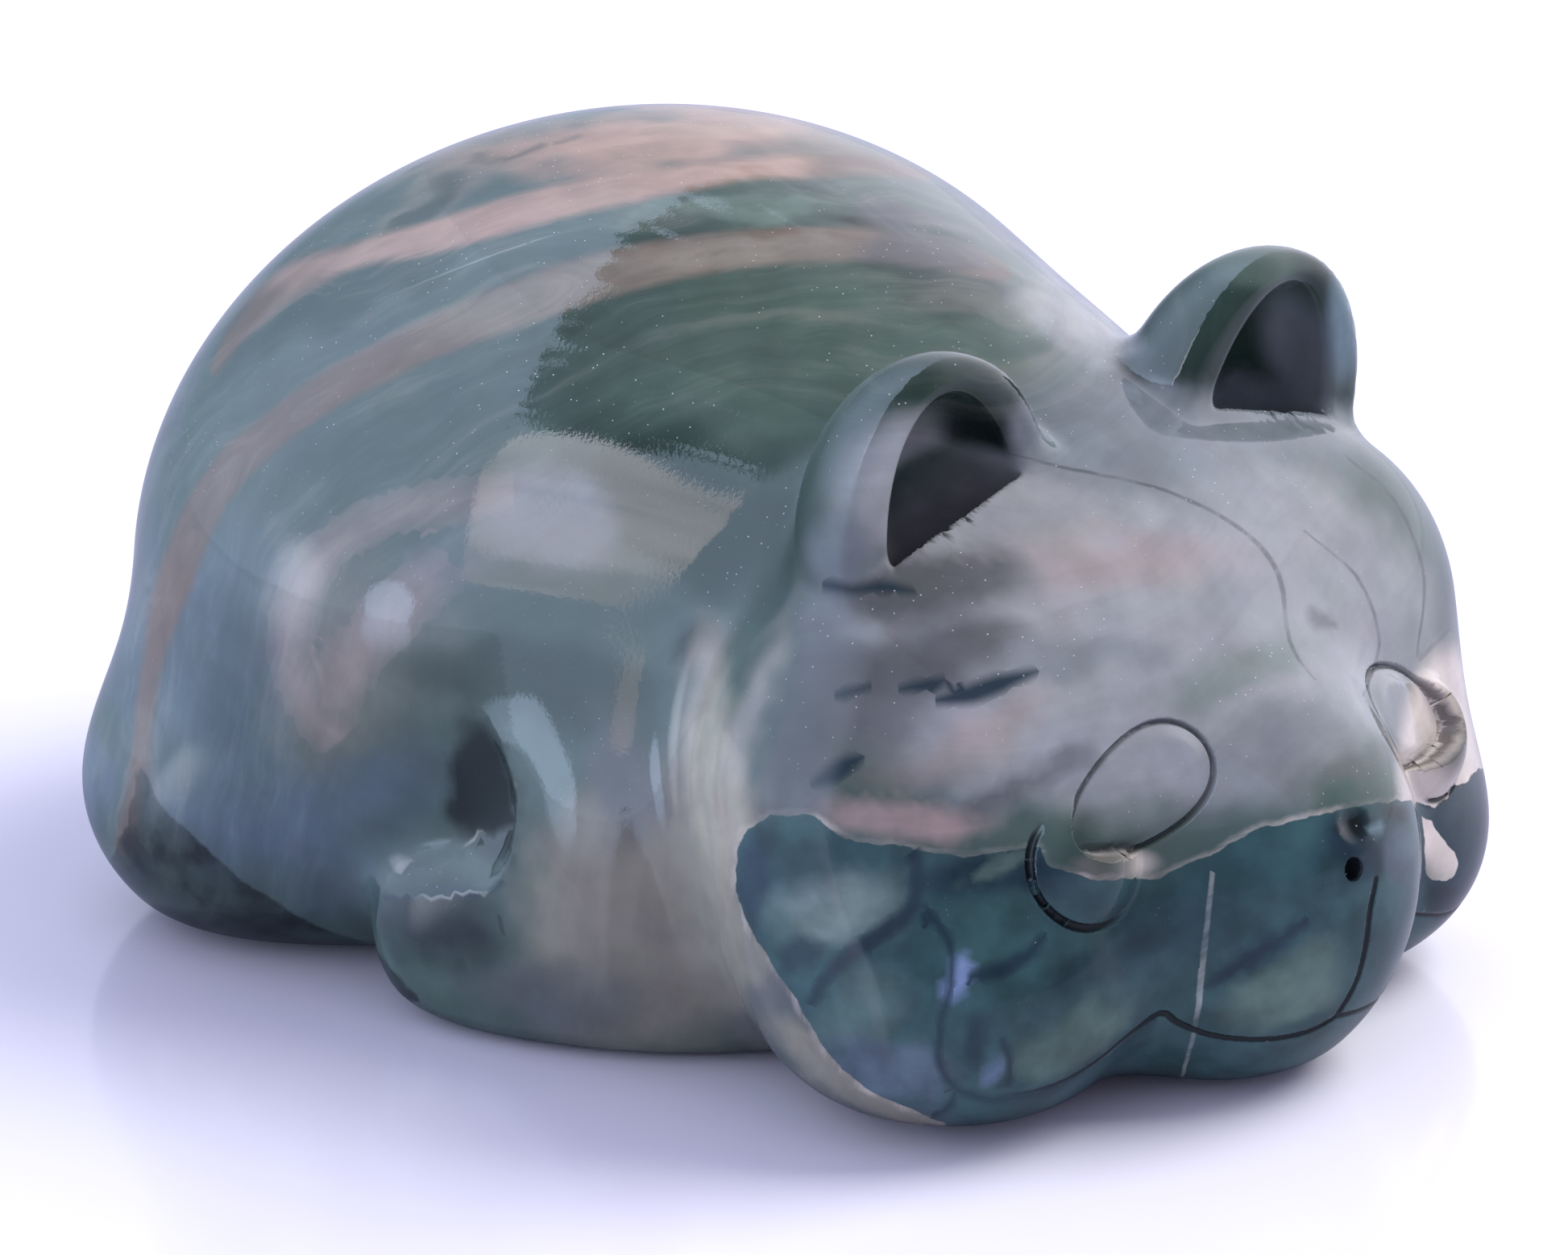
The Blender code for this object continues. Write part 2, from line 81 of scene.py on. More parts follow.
def melt(first: Points, second: Points, width: float) -> Points:
    """Join two distances and round the valley between them.

    Args:
        first: distances from the first form, in mm.
        second: distances from the second form, in mm.
        width: how wide the rounding is, in mm.

    Returns:
        Distances from both forms together.
    """
    share = np.clip(0.5 + 0.5 * (second - first) / width, 0.0, 1.0)
    return second * (1.0 - share) + first * share - width * share * (1.0 - share)


def keep_inside(first: Points, second: Points, width: float) -> Points:
    """Keep what lies inside both distances, rounding the edge between them over width."""
    return -melt(-first, -second, width)


def mirrored(points: Points) -> Points:
    """Points moved to the near side, where the paired masses are."""
    near = points.copy()
    near[:, 0] = -np.abs(near[:, 0])
    return near


def slope_of(field_at: Field, points: Points, here: Optional[Points] = None, step: float = 0.004) -> Points:
    """The gradient of a distance field.

    Args:
        field_at: the field.
        points: where the gradient is wanted, in mm.
        here: the field at the points, where it is known already.
        step: how far ahead the field is read, in mm.

    Returns:
        One gradient for each point.
    """
    if here is None:
        here = field_at(points)
    return np.stack([field_at(points + ahead) - here for ahead in np.eye(3) * step], 1) / step


def deselect_all() -> None:
    """Leave edit mode and select nothing."""
    if bpy.context.object and bpy.context.object.mode != "OBJECT":
        bpy.ops.object.mode_set(mode="OBJECT")
    bpy.ops.object.select_all(action="DESELECT")


def make_active(item: bpy.types.Object) -> None:
    """Select one object alone, for the operators that follow."""
    deselect_all()
    item.select_set(True)
    bpy.context.view_layer.objects.active = item


@dataclass(frozen=True)
class Mass:
    """One rounded mass of the carving: an ellipsoid in mm, turned in degrees and melted in over blend."""

    centre: tuple[float, float, float]
    radii: tuple[float, float, float]
    pitch: float = 0.0
    yaw: float = 0.0
    roll: float = 0.0
    blend: float = 0.0
    SAY: ClassVar[float] = 12.0

    def turn(self) -> Matrix:
        """Turn by roll about Y, then pitch about X, then yaw about Z."""
        turned = Matrix.Rotation(math.radians(self.yaw), 3, "Z")
        turned = turned @ Matrix.Rotation(math.radians(self.pitch), 3, "X")
        return turned @ Matrix.Rotation(math.radians(self.roll), 3, "Y")

    def distance(self, points: Points) -> Points:
        """Distance of points from the mass, below 0 inside it, and far away where it has no say.

        Args:
            points: places in mm.

        Returns:
            One distance for each point.
        """
        away = points - np.array(self.centre)
        reach = max(self.radii) + self.SAY
        close = np.einsum("ij,ij->i", away, away) < reach * reach
        scaled = away[close] @ np.array(self.turn()) / np.array(self.radii)
        steep = scaled / np.array(self.radii)
        depth = np.sqrt(np.einsum("ij,ij->i", scaled, scaled)) + TINY
        slope = np.sqrt(np.einsum("ij,ij->i", steep, steep)) + TINY
        found = np.full(len(points), FAR_AWAY)
        found[close] = depth * (depth - 1.0) / slope
        return found

    def add_ball(self, side: Side) -> bpy.types.Object:
        """Add the mass as a ball at its size and place.

        Args:
            side: near for the mass itself, far for its mirror image.

        Returns:
            The ball, with its place in its mesh.
        """
        flip = Matrix.Diagonal((side.value, 1.0, 1.0))
        deselect_all()
        bpy.ops.mesh.primitive_ico_sphere_add(
            subdivisions=4, radius=MM, location=flip @ Vector(self.centre) * MM,
            rotation=(flip @ self.turn() @ flip).to_euler(), scale=self.radii)
        bpy.ops.object.transform_apply(location=True, rotation=True, scale=True)
        return bpy.context.object


@dataclass(frozen=True)
class EarFront:
    """The flat front of the ears, behind which they are scooped out."""

    place: tuple[float, float, float] = (-12.30, -17.06, 30.0)
    pitch: float = 3.75
    yaw: float = 0.37
    rim_round: float = 1.0
    scoop_setback: float = 0.1
    scoop_edge: float = 0.3
    scoop_opening: float = 0.25

    def normal(self) -> Vector:
        """The way the near ear's front faces."""
        return Mass(self.place, (1.0, 1.0, 1.0), self.pitch, self.yaw).turn() @ Vector((0.0, -1.0, 0.0))

    def before(self, near: Points) -> Points:
        """Distance of near-side points before the front's plane."""
        return (near - np.array(self.place)) @ np.array(self.normal())

    def cut(self, ball: bpy.types.Object, side: Side, ahead: float) -> None:
        """Cut a ball off where the plane, moved ahead, passes through it.

        Args:
            ball: the ball to cut, which stays closed.
            side: the ear that it is for.
            ahead: how far before the front the cut lies, in mm.
        """
        flip = Matrix.Diagonal((side.value, 1.0, 1.0))
        make_active(ball)
        bpy.ops.object.mode_set(mode="EDIT")
        bpy.ops.mesh.select_all(action="SELECT")
        bpy.ops.mesh.bisect(plane_co=flip @ (Vector(self.place) + self.normal() * ahead) * MM,
                            plane_no=flip @ self.normal(), use_fill=True, clear_outer=True)
        bpy.ops.object.mode_set(mode="OBJECT")


@dataclass(frozen=True)
class PandaForm:
    """The panda before its fine carving: torso, head and ears, each melted into the next."""

    torso: Mass = Mass((0.0, 16.74, 18.67), (28.18, 26.72, 23.65), pitch=-13.51)
    nape: Mass = Mass((0.0, -5.28, 17.58), (18.62, 17.71, 18.50), blend=9.0)
    haunch: Mass = Mass((-17.79, 26.26, 7.56), (10.89, 11.51, 9.22), yaw=-20.55, blend=5.0)
    upper_arm: Mass = Mass((-16.47, 0.53, 9.51), (8.28, 8.49, 9.97), yaw=20.03, blend=6.0)
    foreleg: Mass = Mass((-17.90, 0.86, 4.81), (5.80, 13.41, 8.38), yaw=30.07, blend=2.5)
    tail: Mass = Mass((0.0, 38.5, 6.9), (4.3, 4.3, 4.5), blend=1.6)
    skull: Mass = Mass((0.0, -12.66, 15.15), (19.57, 14.74, 17.38), pitch=11.58)
    temple: Mass = Mass((-15.12, -16.24, 17.60), (10.08, 7.78, 10.32), blend=9.0)
    cheek: Mass = Mass((-14.20, -18.75, 6.99), (9.68, 9.36, 7.25), blend=7.0)
    muzzle: Mass = Mass((0.0, -24.28, 10.26), (10.34, 10.35, 11.81), pitch=11.20, blend=3.5)
    ear: Mass = Mass((-12.30, -15.27, 29.69), (7.96, 5.94, 9.34), pitch=6.75, yaw=5.26, roll=-16.53, blend=1.5)
    ear_scoop: Mass = Mass((-12.00, -17.11, 29.29), (4.90, 4.70, 8.10), pitch=6.75, yaw=5.26, roll=-16.53,
                           blend=0.8)
    ear_front: EarFront = EarFront()
    neck_blend: float = 3.5
    floor_round: float = 2.0

    def body(self) -> tuple[Mass, ...]:
        """The masses that melt into the torso, in order."""
        return self.nape, self.haunch, self.upper_arm, self.foreleg, self.tail

    def head(self) -> tuple[Mass, ...]:
        """The masses that melt into the skull, in order."""
        return self.temple, self.cheek, self.muzzle

    def melted(self, points: Points, near: Points, first: Mass, rest: tuple[Mass, ...]) -> Points:
        """One mass with others melted to it.

        Args:
            points: places in mm.
            near: the same places moved to the near side, for the paired masses.
            first: the mass that the others join.
            rest: the masses that join it.

        Returns:
            Distances from all of them together.
        """
        together = first.distance(points)
        for mass in rest:
            together = melt(together, mass.distance(near if mass.centre[0] else points), mass.blend)
        return together

    def without_ears(self, points: Points, near: Points) -> Points:
        """Distance of points from the body and the head alone, in mm."""
        return melt(self.melted(points, near, self.torso, self.body()),
                    self.melted(points, near, self.skull, self.head()), self.neck_blend)

    def distance(self, points: Points) -> Points:
        """Distance of points from the form, in mm."""
        near = mirrored(points)
        whole = self.without_ears(points, near)
        before = self.ear_front.before(near)
        ear = keep_inside(self.ear.distance(near), before, self.ear_front.rim_round)
        whole = melt(whole, ear, self.ear.blend)
        scoop = keep_inside(self.ear_scoop.distance(near), before + self.ear_front.scoop_setback,
                            self.ear_front.scoop_edge)
        whole = keep_inside(whole, -scoop, self.ear_scoop.blend)
        return keep_inside(whole, -points[:, 2], self.floor_round)

    def on_face(self, x: Points, z: Points) -> Points:
        """Points of the uncarved face, reached from the front.

        Args:
            x: how far to the panda's left, in mm.
            z: how high, in mm.

        Returns:
            One point of the face for each x and z.
        """
        start, rounds, stride, share = -47.0, 60, 1.5, 0.9
        points = np.stack([np.array(x, float), np.full(len(x), start), np.array(z, float)], 1)
        for _ in range(rounds):
            points[:, 1] += share * np.clip(self.distance(points), 0.0, stride)
        return points


def curve_through(knots: tuple, step: float) -> Points:
    """Points on a smooth curve through knots.

    Args:
        knots: the points that the curve passes, of any number of values each.
        step: how far apart the points are, in the knots' first two values.

    Returns:
        The points, each with as many values as a knot.
    """
    places = np.array(knots, float)
    ends = np.vstack([2 * places[0] - places[1], places, 2 * places[-1] - places[-2]])
    stretches = []
    for a, b, c, d in zip(ends[:-3], ends[1:-2], ends[2:-1], ends[3:]):
        count = max(2, math.ceil(np.linalg.norm((c - b)[:2]) / step))
        t = np.linspace(0.0, 1.0, count, endpoint=False)[:, None]
        bend = (2 * a - 5 * b + 4 * c - d) * t ** 2 + (3 * b - a - 3 * c + d) * t ** 3
        stretches.append(0.5 * (2 * b + (c - a) * t + bend))
    return np.vstack(stretches + [places[-1:]])


def nearest_on(route: Points, values: Points, points: Points) -> tuple[Points, Points]:
    """Distance of points from a route of straight steps, and the route's own value beside them.

    Args:
        route: the route's points.
        values: one value for each of the route's points.
        points: the places asked about, with as many axes as the route.

    Returns:
        Distances, and the values at the nearest places of the route.
    """
    distance = np.full(len(points), np.inf)
    beside = np.zeros(len(points))
    for i, (start, end) in enumerate(zip(route[:-1], route[1:])):
        run = end - start
        t = np.clip((points - start) @ run / (run @ run), 0.0, 1.0)
        away = np.linalg.norm(points - start - t[:, None] * run, axis=1)
        here = values[i] * (1.0 - t) + values[i + 1] * t
        beside = np.where(away < distance, here, beside)
        distance = np.minimum(away, distance)
    return distance, beside


class Groove:
    """A line cut in the face with a burr, along (x, z, strength) knots."""

    STEP = 0.3

    def __init__(self, form: PandaForm, knots: tuple, burr: float, depth: float) -> None:
        """Lay the line on the face.

        Args:
            form: the form whose face it is cut in.
            knots: places as (x, z, strength), in mm.
            burr: the width of the cut, in mm.
            depth: the depth of the cut, in mm.
        """
        route = curve_through(knots, self.STEP)
        self.points = form.on_face(route[:, 0], route[:, 1])
        self.strength = np.clip(route[:, 2], 0.0, 1.0)
        self.half = 0.5 * burr
        self.depth = depth

    def within(self, points: Points, margin: float) -> Points:
        """Indices of the points in the line's box, widened by margin."""
        low, high = self.points.min(0) - margin, self.points.max(0) + margin
        return np.where(np.all((points > low) & (points < high), axis=1))[0]

    def cut(self, points: Points) -> Points:
        """Depth of stone that the burr takes at points."""
        depth = np.zeros(len(points))
        near = self.within(points, 2.0 * self.half)
        if len(near):
            distance, strength = nearest_on(self.points, self.strength, points[near])
            across = np.clip(distance / self.half, 0.0, 1.0)
            depth[near] = strength * self.depth * (1.0 - across ** 2) ** BURR_PROFILE
        return depth


@dataclass(frozen=True)
class EyeSizes:
    """What both eyes share: a flat egg-shaped lid over a ball that a round groove frees below."""

    burr: float = 0.40
    depth: float = 0.26
    lid_long: float = 4.6
    lid_short: float = 2.6
    lid_egg: float = 0.16
    lid_rise: float = 19.0
    lid_lift: float = 0.12
    lid_bevel: float = 1.1
    ball_radius: float = 4.3
    ball_shows: float = 3.15
    ball_lift: float = 0.35
    groove_turns: tuple[float, float] = (138.0, 318.0)
    groove_wider: float = 1.7
    groove_deeper: float = 1.4


class CarvedEye:
    """One eye's lid facet with its line, and the ball in its groove."""

    RING = 24
    KNOTS = 13
    FADE_IN = 0.3
    FADE_OUT = 4.5
    PROBE = 2.0
    THICK = 3.0
    REACH = 2.2
    BALL_MELT = 0.25
    LID_EDGE = 0.3
    LID_MIDDLE = 0.3

    def __init__(self, form: PandaForm, sizes: EyeSizes, lid: tuple, ball: tuple) -> None:
        """Find the eye's places on the face.

        Args:
            form: the form whose face it is cut in.
            sizes: the sizes that both eyes share.
            lid: the middle of the lid as (x, z), in mm.
            ball: the middle of the ball as (x, z), in mm.
        """
        self.form, self.sizes = form, sizes
        self.side = math.copysign(1.0, lid[0])
        self.find_facet(lid)
        self.find_ball(ball)
        self.groove = Groove(form, self.groove_knots(ball), sizes.burr * sizes.groove_wider,
                             sizes.depth * sizes.groove_deeper)

    def find_facet(self, lid: tuple) -> None:
        """Lay the lid's plane through the ring where its line is cut."""
        turns = np.linspace(0.0, 2.0 * math.pi, self.RING, endpoint=False)
        rise = math.radians(self.sizes.lid_rise)
        along, across = self.sizes.lid_long * np.cos(turns), self.sizes.lid_short * np.sin(turns)
        x = lid[0] - self.side * (along * math.cos(rise) - across * math.sin(rise))
        z = lid[1] + along * math.sin(rise) + across * math.cos(rise)
        ring = self.form.on_face(x, z)
        self.centre = ring.mean(0)
        self.normal = np.linalg.svd(ring - self.centre)[2][2]
        self.normal *= -np.sign(self.normal[1])
        level = np.array([-self.side, 0.0, 0.0])
        level -= self.normal * (level @ self.normal)
        level /= np.linalg.norm(level)
        upward = np.cross(self.normal, level)
        upward *= np.sign(upward[2])
        self.along = math.cos(rise) * level + math.sin(rise) * upward
        self.across = math.cos(rise) * upward - math.sin(rise) * level

    def find_ball(self, place: tuple) -> None:
        """Sink a ball behind the face until it shows as a cap."""
        offsets = np.array([(0.0, 0.0), (1.0, 0.0), (-1.0, 0.0), (0.0, 1.0), (0.0, -1.0)]) * self.PROBE
        around = self.form.on_face(place[0] + offsets[:, 0], place[1] + offsets[:, 1])
        normal = slope_of(self.form.distance, around).mean(0)
        normal /= np.linalg.norm(normal)
        sizes = self.sizes
        sunk = math.sqrt(sizes.ball_radius ** 2 - sizes.ball_shows ** 2) - sizes.ball_lift
        self.ball = around[0] - normal * sunk

    def groove_knots(self, place: tuple) -> Points:
        """The groove's arc round the ball's outer and lower side, fading at both ends."""
        turns = np.radians(np.linspace(*self.sizes.groove_turns, self.KNOTS))
        count = np.arange(self.KNOTS)
        strength = smooth_step(np.minimum(count * self.FADE_IN + self.FADE_IN,
                                          (self.KNOTS - 1 - count) / self.FADE_OUT))
        x = place[0] - self.side * self.sizes.ball_shows * np.cos(turns)
        z = place[1] + self.sizes.ball_shows * np.sin(turns)
        return np.stack([x, z, strength], 1)

    def outside_lid(self, points: Points) -> tuple[Points, Points]:
        """Distance of points outside the lid's line, and their height over its facet."""
        local = points - self.centre
        a, b, height = local @ self.along, local @ self.across, local @ self.normal
        long = self.sizes.lid_long
        short = self.sizes.lid_short * (1.0 + self.sizes.lid_egg * np.clip(a / long, -1.0, 1.0))
        reach = np.hypot(a / long, b / short) + TINY
        slope = np.hypot(a / long ** 2, b / short ** 2) / reach + TINY
        return np.where(reach > self.LID_MIDDLE, (reach - 1.0) / slope, -short), height

    def ring_cut(self, outside: Points, height: Points) -> Points:
        """Depth of the lid's line, from places' distance outside it and their height over its facet."""
        ring = np.clip(np.abs(outside) / (0.5 * self.sizes.burr), 0.0, 1.0)
        return self.sizes.depth * (1.0 - ring ** 2) ** BURR_PROFILE * (np.abs(height) < self.THICK)

    def apply(self, carved: Points, points: Points) -> Points:
        """Cut the eye into a distance field.

        Args:
            carved: the field before the eye is cut.
            points: the places where it was read.

        Returns:
            The field with the eye in it.
        """
        sizes = self.sizes
        near = np.where(np.linalg.norm(points - self.centre, axis=1) < self.REACH * sizes.lid_long)[0]
        if not len(near):
            return carved
        here, base = points[near], carved[near]
        cut = melt(base, np.linalg.norm(here - self.ball, axis=1) - sizes.ball_radius, self.BALL_MELT)
        cut = cut + self.groove.cut(here)
        outside, height = self.outside_lid(here)
        flat = smooth_step(-outside / sizes.lid_bevel)
        lid = base * (1.0 - flat) + (height - sizes.lid_lift) * flat
        facing = np.abs(height) < self.THICK
        on_lid = smooth_step(0.5 - outside / self.LID_EDGE) * facing
        cut = cut * (1.0 - on_lid) + lid * on_lid
        result = carved.copy()
        result[near] = cut + self.ring_cut(outside, height)
        return result


@dataclass(frozen=True)
class ElbowHollow:
    """The hollow behind each upper arm, over the elbow's ledge; its floor line is given as (y, z)."""

    tip: tuple[float, float] = (11.2, 7.4)
    end: tuple[float, float] = (3.0, 12.4)
    ledge: tuple[float, float] = (0.35, 3.45)
    height: float = 6.5
    depth: float = 1.35
    wall: tuple[float, float, float] = (1.3, 13.2, 0.085)
    wall_width: float = 1.5
    run_in: tuple[float, float] = (1.1, 0.08)
    reach: tuple[float, float, float, float] = (-3.0, 16.0, 4.0, 24.0)
    flank: float = -20.0

    def cut(self, points: Points) -> Points:
        """Depth of stone taken out at points, on both sides."""
        near = mirrored(points)
        depth = np.zeros(len(points))
        y, z = near[:, 1], near[:, 2]
        y_low, y_high, z_low, z_high = self.reach
        chosen = (near[:, 0] < self.flank) & (y > y_low) & (y < y_high) & (z > z_low) & (z < z_high)
        y, z = y[chosen], z[chosen]
        run = np.subtract(self.end, self.tip)
        length = np.hypot(*run)
        run = run / length
        along = ((y - self.tip[0]) * run[0] + (z - self.tip[1]) * run[1]) / length
        below = (z - self.tip[1]) * run[0] - (y - self.tip[0]) * run[1]
        ledge = np.interp(along, (0.0, 1.0), self.ledge)
        floor = np.clip(1.0 - below / ledge, 0.0, 1.0)
        roof = (1.0 - np.clip(-below / self.height, 0.0, 1.0) ** 2) ** 2
        wall = self.wall[0] + self.wall[2] * (z - self.wall[1]) ** 2
        behind = smooth_step((y - wall) / self.wall_width)
        begun = smooth_step(self.run_in[0] * along + self.run_in[1])
        depth[chosen] = self.depth * begun * np.where(below > 0.0, floor, roof) * behind
        return depth


@dataclass
class Carving:
    """Everything cut into the form: mouth, eyes, nostril, dimple and the elbows' hollows."""

    form: PandaForm = PandaForm()
    eye_sizes: EyeSizes = EyeSizes()
    elbow: ElbowHollow = ElbowHollow()
    mouth_burr: float = 0.46
    mouth_depth: float = 0.30
    philtrum: tuple = ((-0.1, 12.4, 0.4), (-0.6, 10.9, 1.0), (-0.7, 9.1, 1.0), (-0.8, 6.9, 1.0),
                       (-1.3, 4.9, 1.0))
    lip: tuple = ((-1.3, 4.9, 1.0), (-2.7, 4.35, 1.0), (-4.8, 4.25, 1.0), (-7.0, 4.65, 1.0), (-8.7, 5.6, 0.9),
                  (-9.7, 6.35, 0.75), (-10.9, 5.7, 0.4), (-12.4, 5.1, 0.28), (-16.4, 4.0, 0.22),
                  (-20.4, 4.2, 0.0))
    near_eye: tuple = ((-10.25, 17.95), (-13.6, 15.1))
    far_eye: tuple = ((11.1, 16.4), (13.9, 14.4))
    nostril: tuple[float, float] = (-1.6, 13.3)
    nostril_aim: tuple[float, float, float] = (-0.10, -0.93, 0.36)
    nostril_drill: float = 1.18
    nostril_depth: float = 1.10
    dimple: tuple[float, float] = (-1.1, 15.4)
    dimple_radius: float = 1.1
    dimple_depth: float = 0.35
    # How much of the dirt and painted shade in the cuts the eyes' grooves and lid lines take
    groove_dirt_and_shade: float = 0.5
    ring_dirt_and_shade: float = 0.2
    line_reach: float = 2.0
    ring_height: float = 2.0
    lines: list[Groove] = field(default_factory=list)
    eyes: list[CarvedEye] = field(default_factory=list)

    def __post_init__(self) -> None:
        """Lay every cut on the face."""
        far_lip = (self.lip[0],) + tuple((-x, z, strength) for x, z, strength in self.lip[1:])
        self.lines = [Groove(self.form, knots, self.mouth_burr, self.mouth_depth)
                      for knots in (self.philtrum, self.lip, far_lip)]
        self.eyes = [CarvedEye(self.form, self.eye_sizes, *eye) for eye in (self.near_eye, self.far_eye)]
        self.nostril_place, self.dimple_place = self.form.on_face(*zip(self.nostril, self.dimple))
        self.aim = np.array(Vector(self.nostril_aim).normalized())

    def nostril_hole(self, points: Points) -> Points:
        """Depth of the drilled nostril at points."""
        local = points - self.nostril_place
        along = local @ self.aim
        away = np.linalg.norm(local - along[:, None] * self.aim, axis=1)
        across = np.clip(away / (0.5 * self.nostril_drill), 0.0, 1.0)
        return self.nostril_depth * np.sqrt(1.0 - across ** 2) * (np.abs(along) < 2.0 * self.nostril_depth)

    def distance(self, points: Points) -> Points:
        """Distance of points from the finished carving, in mm."""
        carved = self.form.distance(points) + self.elbow.cut(points)
        for eye in self.eyes:
            carved = eye.apply(carved, points)
        for line in self.lines:
            carved = carved + line.cut(points)
        away = np.clip(np.linalg.norm(points - self.dimple_place, axis=1) / self.dimple_radius, 0.0, 1.0)
        return carved + self.nostril_hole(points) + self.dimple_depth * (1.0 - away ** 2) ** 2

    def fine_cuts(self, points: Points) -> Points:
        """Depth of the fine cuts at points, where dirt stays and shade is painted, less of both beside the eyes.
        """
        depth = self.nostril_hole(points)
        for line in self.lines:
            depth = np.maximum(depth, line.cut(points))
        for eye in self.eyes:
            depth = np.maximum(depth, self.groove_dirt_and_shade * eye.groove.cut(points))
            depth = np.maximum(depth, self.ring_dirt_and_shade * eye.ring_cut(*eye.outside_lid(points)))
        return depth

    def detail_distance(self, points: Points) -> Points:
        """Distance of points from the nearest fine cut or ear scoop, in mm, far away where none is near."""
        nearest = np.full(len(points), np.inf)
        for line in self.lines + [eye.groove for eye in self.eyes]:
            chosen = line.within(points, self.line_reach)
            if len(chosen):
                away = nearest_on(line.points, line.strength, points[chosen])[0]
                nearest[chosen] = np.minimum(nearest[chosen], away)
        for eye in self.eyes:
            outside, height = eye.outside_lid(points)
            nearest = np.minimum(nearest, np.abs(outside) + FAR_AWAY * (np.abs(height) > self.ring_height))
        hole = np.linalg.norm(points - self.nostril_place, axis=1) - 0.5 * self.nostril_drill
        near = mirrored(points)
        front = self.form.ear_front.before(near)
        mouth = np.hypot(front, np.maximum(self.form.ear_scoop.distance(near), 0.0))
        return np.minimum(np.minimum(nearest, np.maximum(hole, 0.0)), mouth)


@dataclass(frozen=True)
class Viewpoint:
    """Where the picture was taken from, in mm and degrees, and how it frames the carving, in its own pixels."""

    azimuth: float = -47.37
    elevation: float = 19.02
    distance: float = 379.29
    target: tuple[float, float, float] = (-5.46, -3.375, 18.82)
    focal: float = 8951.0
    width: float = 1946.0
    height: float = 1557.0
    sensor: float = 36.0
    clip: tuple[float, float] = (0.01, 20.0)

    def axes(self) -> tuple[Vector, Vector, Vector]:
        """The picture's right, up and back directions."""
        a, e = math.radians(self.azimuth), math.radians(self.elevation)
        back = Vector((math.sin(a) * math.cos(e), -math.cos(a) * math.cos(e), math.sin(e)))
        right = Vector((math.cos(a), math.sin(a), 0.0))
        return right, back.cross(right), back

    def place(self) -> Vector:
        """The camera's place, in mm."""
        return Vector(self.target) + self.axes()[2] * self.distance

    def seen(self, points: Points) -> Points:
        """Where points show in the picture.

        Args:
            points: places in mm.

        Returns:
            One (right, down) place in the picture's pixels for each point.
        """
        local = (points - np.array(self.place())) @ np.array(self.axes()).T
        scale = self.focal / -local[:, 2]
        return np.stack([0.5 * self.width + local[:, 0] * scale, 0.5 * self.height - local[:, 1] * scale], 1)

    def add_camera(self) -> None:
        """Put the scene's camera at the viewpoint."""
        data = bpy.data.cameras.new("camera")
        data.sensor_fit = "HORIZONTAL"
        data.sensor_width = self.sensor
        data.lens = self.focal * self.sensor / self.width
        data.clip_start, data.clip_end = self.clip
        camera = bpy.data.objects.new("camera", data)
        bpy.context.collection.objects.link(camera)
        camera.matrix_world = Matrix.Translation(self.place() * MM) @ Matrix(self.axes()).transposed().to_4x4()
        bpy.context.scene.camera = camera


class Shade(Enum):
    """The colours of the stone and of the dust on it, as sRGB hex values."""

    MOSS = "4b5c53"
    GREEN_GREY = "44544f"
    DEEP_GREEN = "26352f"
    NIGHT = "141b1c"
    GREY = "6a7276"
    STONE = "8b8e90"
    DUSK = "555759"
    TAUPE = "7a766c"
    BEIGE = "a08677"
    UMBER = "62544a"
    ROSE = "988580"
    CREAM = "a39c8d"
    CHALK = "c3bab2"
    HAZE = "535f6d"
    ICE = "6f8690"
    TEAL = "2f494b"
    SAGE = "5f7268"
    SLATE = "1c2c36"
    INK = "10181d"
    BLUE = "6c7c9c"
    VEIN = "a5aaa8"
    CELADON = "6b7b76"
    DUST = "dcdad6"


def linear(hex_colour: str) -> tuple[float, float, float, float]:
    """Turn an sRGB hex colour into linear light.

    Args:
        hex_colour: six hex digits.

    Returns:
        Red, green, blue and alpha as the shader takes them.
    """
    parts = [int(hex_colour[i:i + 2], 16) / 255.0 for i in (0, 2, 4)]
    red, green, blue = [p / 12.92 if p <= 0.04045 else ((p + 0.055) / 1.055) ** 2.4 for p in parts]
    return red, green, blue, 1.0


@dataclass(frozen=True)
class Cloud:
    """A soft patch of colour in the stone, as a turned ellipse in the picture."""

    shade: Shade
    place: tuple[float, float]
    reach: tuple[float, float]
    turn: float = 0.0
    strength: float = 1.0
    edge: float = 0.6

    def cover(self, seen: Points) -> Points:
        """How much of the patch's colour shows at places in the picture."""
        turn = math.radians(self.turn)
        away = seen - np.array(self.place)
        along = away[:, 0] * math.cos(turn) - away[:, 1] * math.sin(turn)
        across = away[:, 0] * math.sin(turn) + away[:, 1] * math.cos(turn)
        inside = 1.0 - np.hypot(along / self.reach[0], across / self.reach[1])
        return self.strength * smooth_step(inside / self.edge)


def beside(route: Points, half: Points, points: Points) -> tuple[Points, Points]:
    """Distance of places from a flat route, below 0 on its left, and the route's half width beside them.

    Args:
        route: the route's (right, down) points.
        half: its half width at each of them.
        points: the places asked about.

    Returns:
        Signed distances, and half widths, far below 0 beyond the route's ends.
    """
    nearest, signed = np.full(len(points), np.inf), np.zeros(len(points))
    width = np.zeros(len(points))
    last = len(route) - 2
    for i, (start, end) in enumerate(zip(route[:-1], route[1:])):
        run, local = end - start, points - start
        t = local @ run / (run @ run)
        ends = ((i == 0) & (t < 0.0)) | ((i == last) & (t > 1.0))
        t = np.clip(t, 0.0, 1.0)
        away = np.linalg.norm(local - t[:, None] * run, axis=1)
        closer = away < nearest
        side = np.where(run[0] * local[:, 1] - run[1] * local[:, 0] < 0.0, -1.0, 1.0)
        signed = np.where(closer, side * away, signed)
        width = np.where(closer, np.where(ends, -FAR_AWAY, half[i] * (1.0 - t) + half[i + 1] * t), width)
        nearest = np.minimum(away, nearest)
    return signed, width


